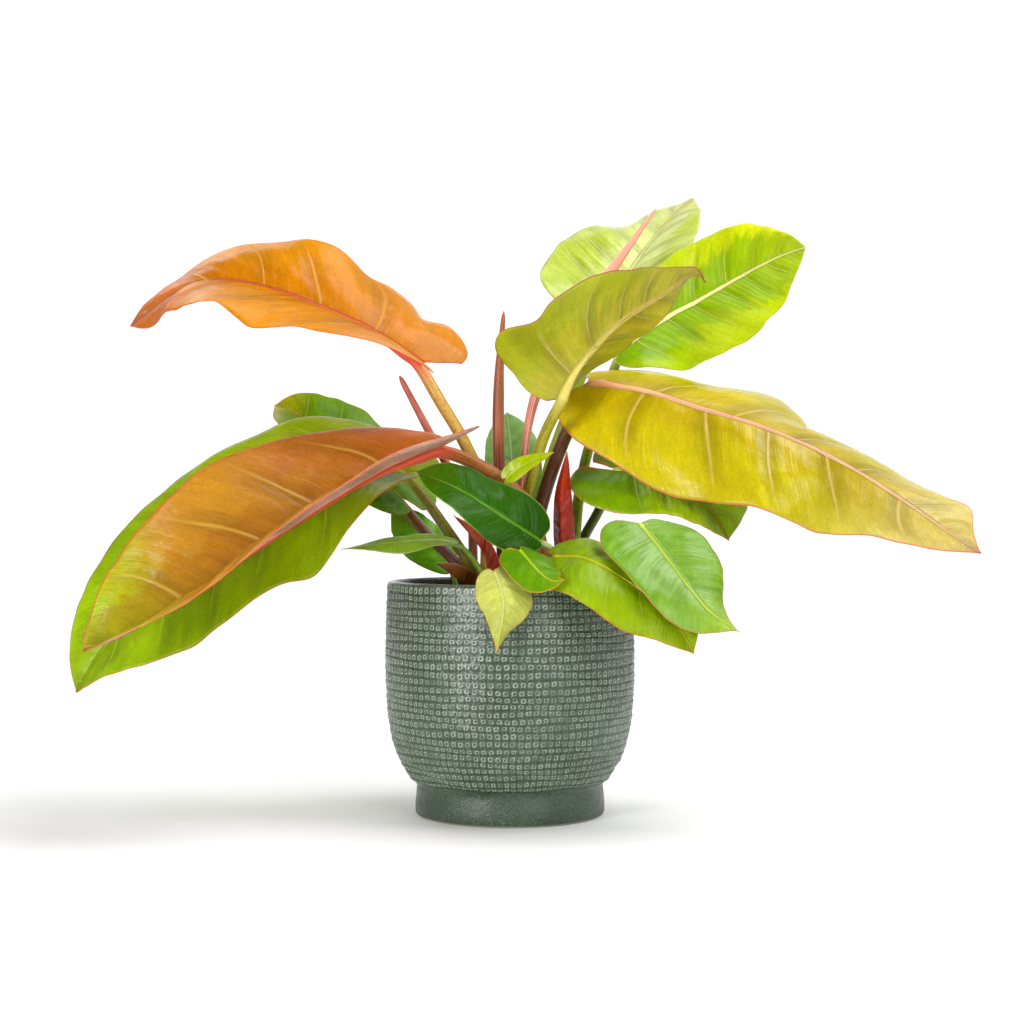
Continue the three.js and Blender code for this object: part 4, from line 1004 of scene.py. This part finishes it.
grow_leaf(
    "narrow_left", seed=15, half=(9, 9), droop=(14, 13), ridge=1.2, wave=(1.2, 1.2, 0.23),
    rib=[(-35, -26, 174), (-50, -30, 175), (-68, -37, 174), (-87, -42, 172), (-104, -45, 170)],
    face=(0, -0.4, 0.9), fold=((8, 0, -17, -9, -1), (19, 22, 5, 2, 8)),
    lobe=((0.63, 0.74), (155, 155), 0.09), outline=(0.35, 2.1, 1.08),
    stalk=((-17, -19), [(-16, -22, 150), (-27, -24, 168)], (2.2, 1.5)),
    colours="98bc44 9cc048 acc450 74a030 b0cc70 b8d078 c0d080 b8c080 a0c070",
    stalk_colours="7a9c40 88aa48 56702a", vein_strength=0.2, rib_width=0.7, patches=0.3,
)
grow_leaf(
    "small_back_left", seed=16, half=(20, 17), droop=(12, 14), ridge=1.4, wave=(1.3, 2.1, 0.3), gloss=0.15,
    rib=[(-39, 18, 158), (-51, 22, 171), (-65, 28, 184), (-79, 34, 196)],
    face=(0.2, -0.85, 0.45), fold=((16, -2, -4, 2, 3), (3, -3, -6, 10, 9)),
    lobe=((0.68, 0.47), (130, 139), 0.04), outline=(0.31, 1.9, 1.18),
    stalk=((-33, 15), [(-34, 16, 140)], (2, 1.6)),
    colours="8cd03c 98d848 c09c50 6cb428 b0d868 b0c860 c89860 c87850 88b050",
    stalk_colours="7a9c40 84a444 4c6420", patches=0.3, vein_strength=0.25, rib_width=0.8,
)
grow_leaf(
    "narrow_middle", seed=17, half=(7, 7), droop=(5, 5), ridge=1, wave=(0.6, 1.2, 0.06),
    rib=[(-2, -40, 214), (9, -43, 222), (27, -42, 230)],
    face=(-0.2, -0.85, 0.5), fold=((18, 20, 13, 10, 8), (9, 8, 20, 19, 16)),
    lobe=((0.81, 0.68), (155, 157), 0.08), outline=(0.26, 1.9, 1.14),
    stalk=((3, -18), [(-2, -28, 160), (-7, -37, 190)], (1.8, 1.3)),
    colours="b0c61c b4ca20 c4cc38 98b418 ccdc50 bcd038 c4cc44 c0b840 b4c850",
    stalk_colours="a0b830 a8c030 687818", veins=4, vein_strength=0.15, rib_width=0.5,
)
grow_leaf(
    "small_back_middle", seed=18, half=(20, 21), droop=(11, 13), ridge=1.4, wave=(1.2, 1.5, 0.29),
    rib=[(3, 45, 206), (1, 50, 233), (-2, 54, 260)],
    face=(0, -0.9, 0.4), fold=((7, 7, 10, 9, 8), (6, 6, 6, -1, 0)),
    lobe=((0.82, 0.82), (160, 160), 0.09), outline=(0.32, 2.1, 1.07),
    stalk=((6, 25), [(6, 32, 165)], (2.2, 1.6)),
    colours="94c870 9ccc78 a8d084 78b058 acd490 b8dca0 b8dca0 a8c080 a0c888",
    stalk_colours="7a9c46 88b050 506c2a", patches=0.3, vein_strength=0.4, rib_width=1.0,
)


# The spears are new leaves that are still rolled up, each a smooth tapering cone with a shallow groove down
# one side. They grow from the stems, brown red below and paler towards the tip.
SPEAR_RINGS = 120
BLUNT_TIP = np.array([0.95, 0.85, 0.62, 0.25])


def grow_spear(name, foot, path, radii, low, high, line_colour):
    x, y = foot
    share = np.linspace(0, 1, SPEAR_RINGS)
    line = smooth_line(share, [(x, y, STALK_FOOT), (x, y, STALK_COLLAR), *path])
    size = along(radii, share) * (1 + 0.25 * np.exp(-((share - 0.02) / 0.05)**2))
    size[-4:] *= BLUNT_TIP
    material = stalk_material("spear_" + name, " ".join([low, high, line_colour, high]), 0.25, 0.3)
    add_tube("rolled_leaf_" + name, line, size, share, material, "spear_" + name, groove=0.25)


grow_spear("middle", (-3, 22), [(-7, 9, 220), (-7, 2, 278), (-4, -2, 322)], (4.2, 4.1, 4.1, 3.7, 1.4),
           "7c4a38", "b06c4c", "582c20")
grow_spear("left", (-24, 9), [(-26, 21, 198), (-43, 28, 227), (-73, 32, 283)], (3.6, 3.2, 3, 2.9, 2),
           "a0604a", "cc7462", "7c4030")
grow_spear("tall", (5, 12), [(8, 5, 214), (17, 5, 269), (42, 8, 317), (67, 8, 351), (95, 8, 390)],
           (3.2, 2.6, 2.5, 4.1, 3.8, 1), "9c4430", "f4a088", "fccab8")


# The sheaths are the papery wraps of leaves that have opened. Each is a narrow channel that stands by the
# stems, still curled: the fresh ones are scarlet, and the one at the rim has dried brown.
SHEATH_THICK = 0.85
SHEATH_MARGIN = 0.35  # its thickness there
NO_MIDRIB = 20  # how far the finish thinks it is from one
SHEATH_FOLD = (60, 52, 45, 45, 50)
SHEATH_LINES = {"vein_strength": 0.15, "margin_width": 0.5, "patches": 0.6}


def grow_sheath(name, seed, rib, face, half, colours):
    s, t = np.meshgrid(np.linspace(-1, 1, 33), np.linspace(0, 1, 91)**1.2)
    middle, up, across, length, panel = blade_surface(
        Midrib(rib, [face]), s, t, half=(half, half), fold=(SHEATH_FOLD, SHEATH_FOLD), droop=(-25, -25),
        lobe=((0.5, 0.5), (90, 90), 0.09), outline=(0.52, 2, 0.9), wave=(0.4, 3, 0), veins=3, seed=seed)
    edge = (1 - np.abs(s)) * length
    thickness = SHEATH_MARGIN + (SHEATH_THICK - SHEATH_MARGIN) * np.clip(edge / 3, 0, 1)
    points, faces = sheet_mesh(middle, up, thickness, np.zeros_like(s))
    sheath = new_object("wrap_" + name, points * MM, faces)
    set_sheet_numbers(sheath, t, s, panel, across + NO_MIDRIB, edge, under=0)
    material = leaf_material("sheath_" + name, colours, SHEATH_LINES | {"seed": seed})
    place_piece(sheath, material, "sheath_" + name)


grow_sheath("red_right", 31, [(36, -11, 107), (33, -17, 165), (32, -21, 201), (36, -21, 231)],
            (0.2, 0.9, 0.1), 14, "7a3018 b83a28 d84a38 d85a48 e88070 c04030 c04030 f0a898 c84838")
grow_sheath("red_left", 32, [(-5, -9, 107), (-13, -8, 155), (-20, -8, 172), (-36, -10, 191)],
            (0.5, 0.6, 0.5), 9, "8a3424 c04834 d8604c d07058 e08878 c04838 c04838 e8a090 b84a38")
grow_sheath("dry_rim", 33, [(-28, -16, 107), (-27, -20, 142), (-34, -28, 152), (-46, -32, 161)],
            (0.3, 0.3, 0.9), 11, "5c3420 7c4c32 946444 4a2814 b08460 6a4028 6a4028 b88860 6a4430")


# The stems are short and thick, ringed with the scars of old leaves, and stand in the soil where all the
# stalks crowd together.
STEM_FOOT = 107
FIRST_SCAR = 120.0
STEM_COLOURS = ("4c4a20", "7c6a3c")


def grow_stem(name, place, radius, above, seed):
    draw = np.random.default_rng(seed)
    top = SOIL_LEVEL + SOIL_DOME + above
    section = [(0.01, STEM_FOOT), (radius * 0.92, STEM_FOOT)]
    height = FIRST_SCAR
    while height < top - 4:
        wide = radius * draw.uniform(0.88, 0.94)
        section += [(wide, height), (radius, height + 0.7)]
        section += [(radius * 0.99, height + 1.1), (wide, height + 1.6)]
        height += draw.uniform(3.2, 5.2)
    section += [(radius * 0.88, top - 3), (radius * 0.7, top - 1.1), (radius * 0.4, top - 0.2), (0.01, top)]
    stem = turned("short_stem_" + name, section, columns=48)
    stem.data.transform(Matrix.Translation(Vector((*place, 0)) * MM))
    material, shader = new_material("ringed_stem", {"Roughness": 0.6})
    cloudy = noise(place_in(material.node_tree), 180, 4)
    colour = mixed(step(cloudy, 0.35, 0.65), *(paint(code) for code in STEM_COLOURS))
    connect(shader, {"Base Color": colour, "Normal": bumps(cloudy, 0.4, 0.001)})
    place_piece(stem, material, "stem_" + name)


grow_stem("left", (-9, 6), 7, 16, 41)
grow_stem("right", (25, 2), 6.5, 18, 42)
grow_stem("front", (14, -34), 4.5, 10, 43)
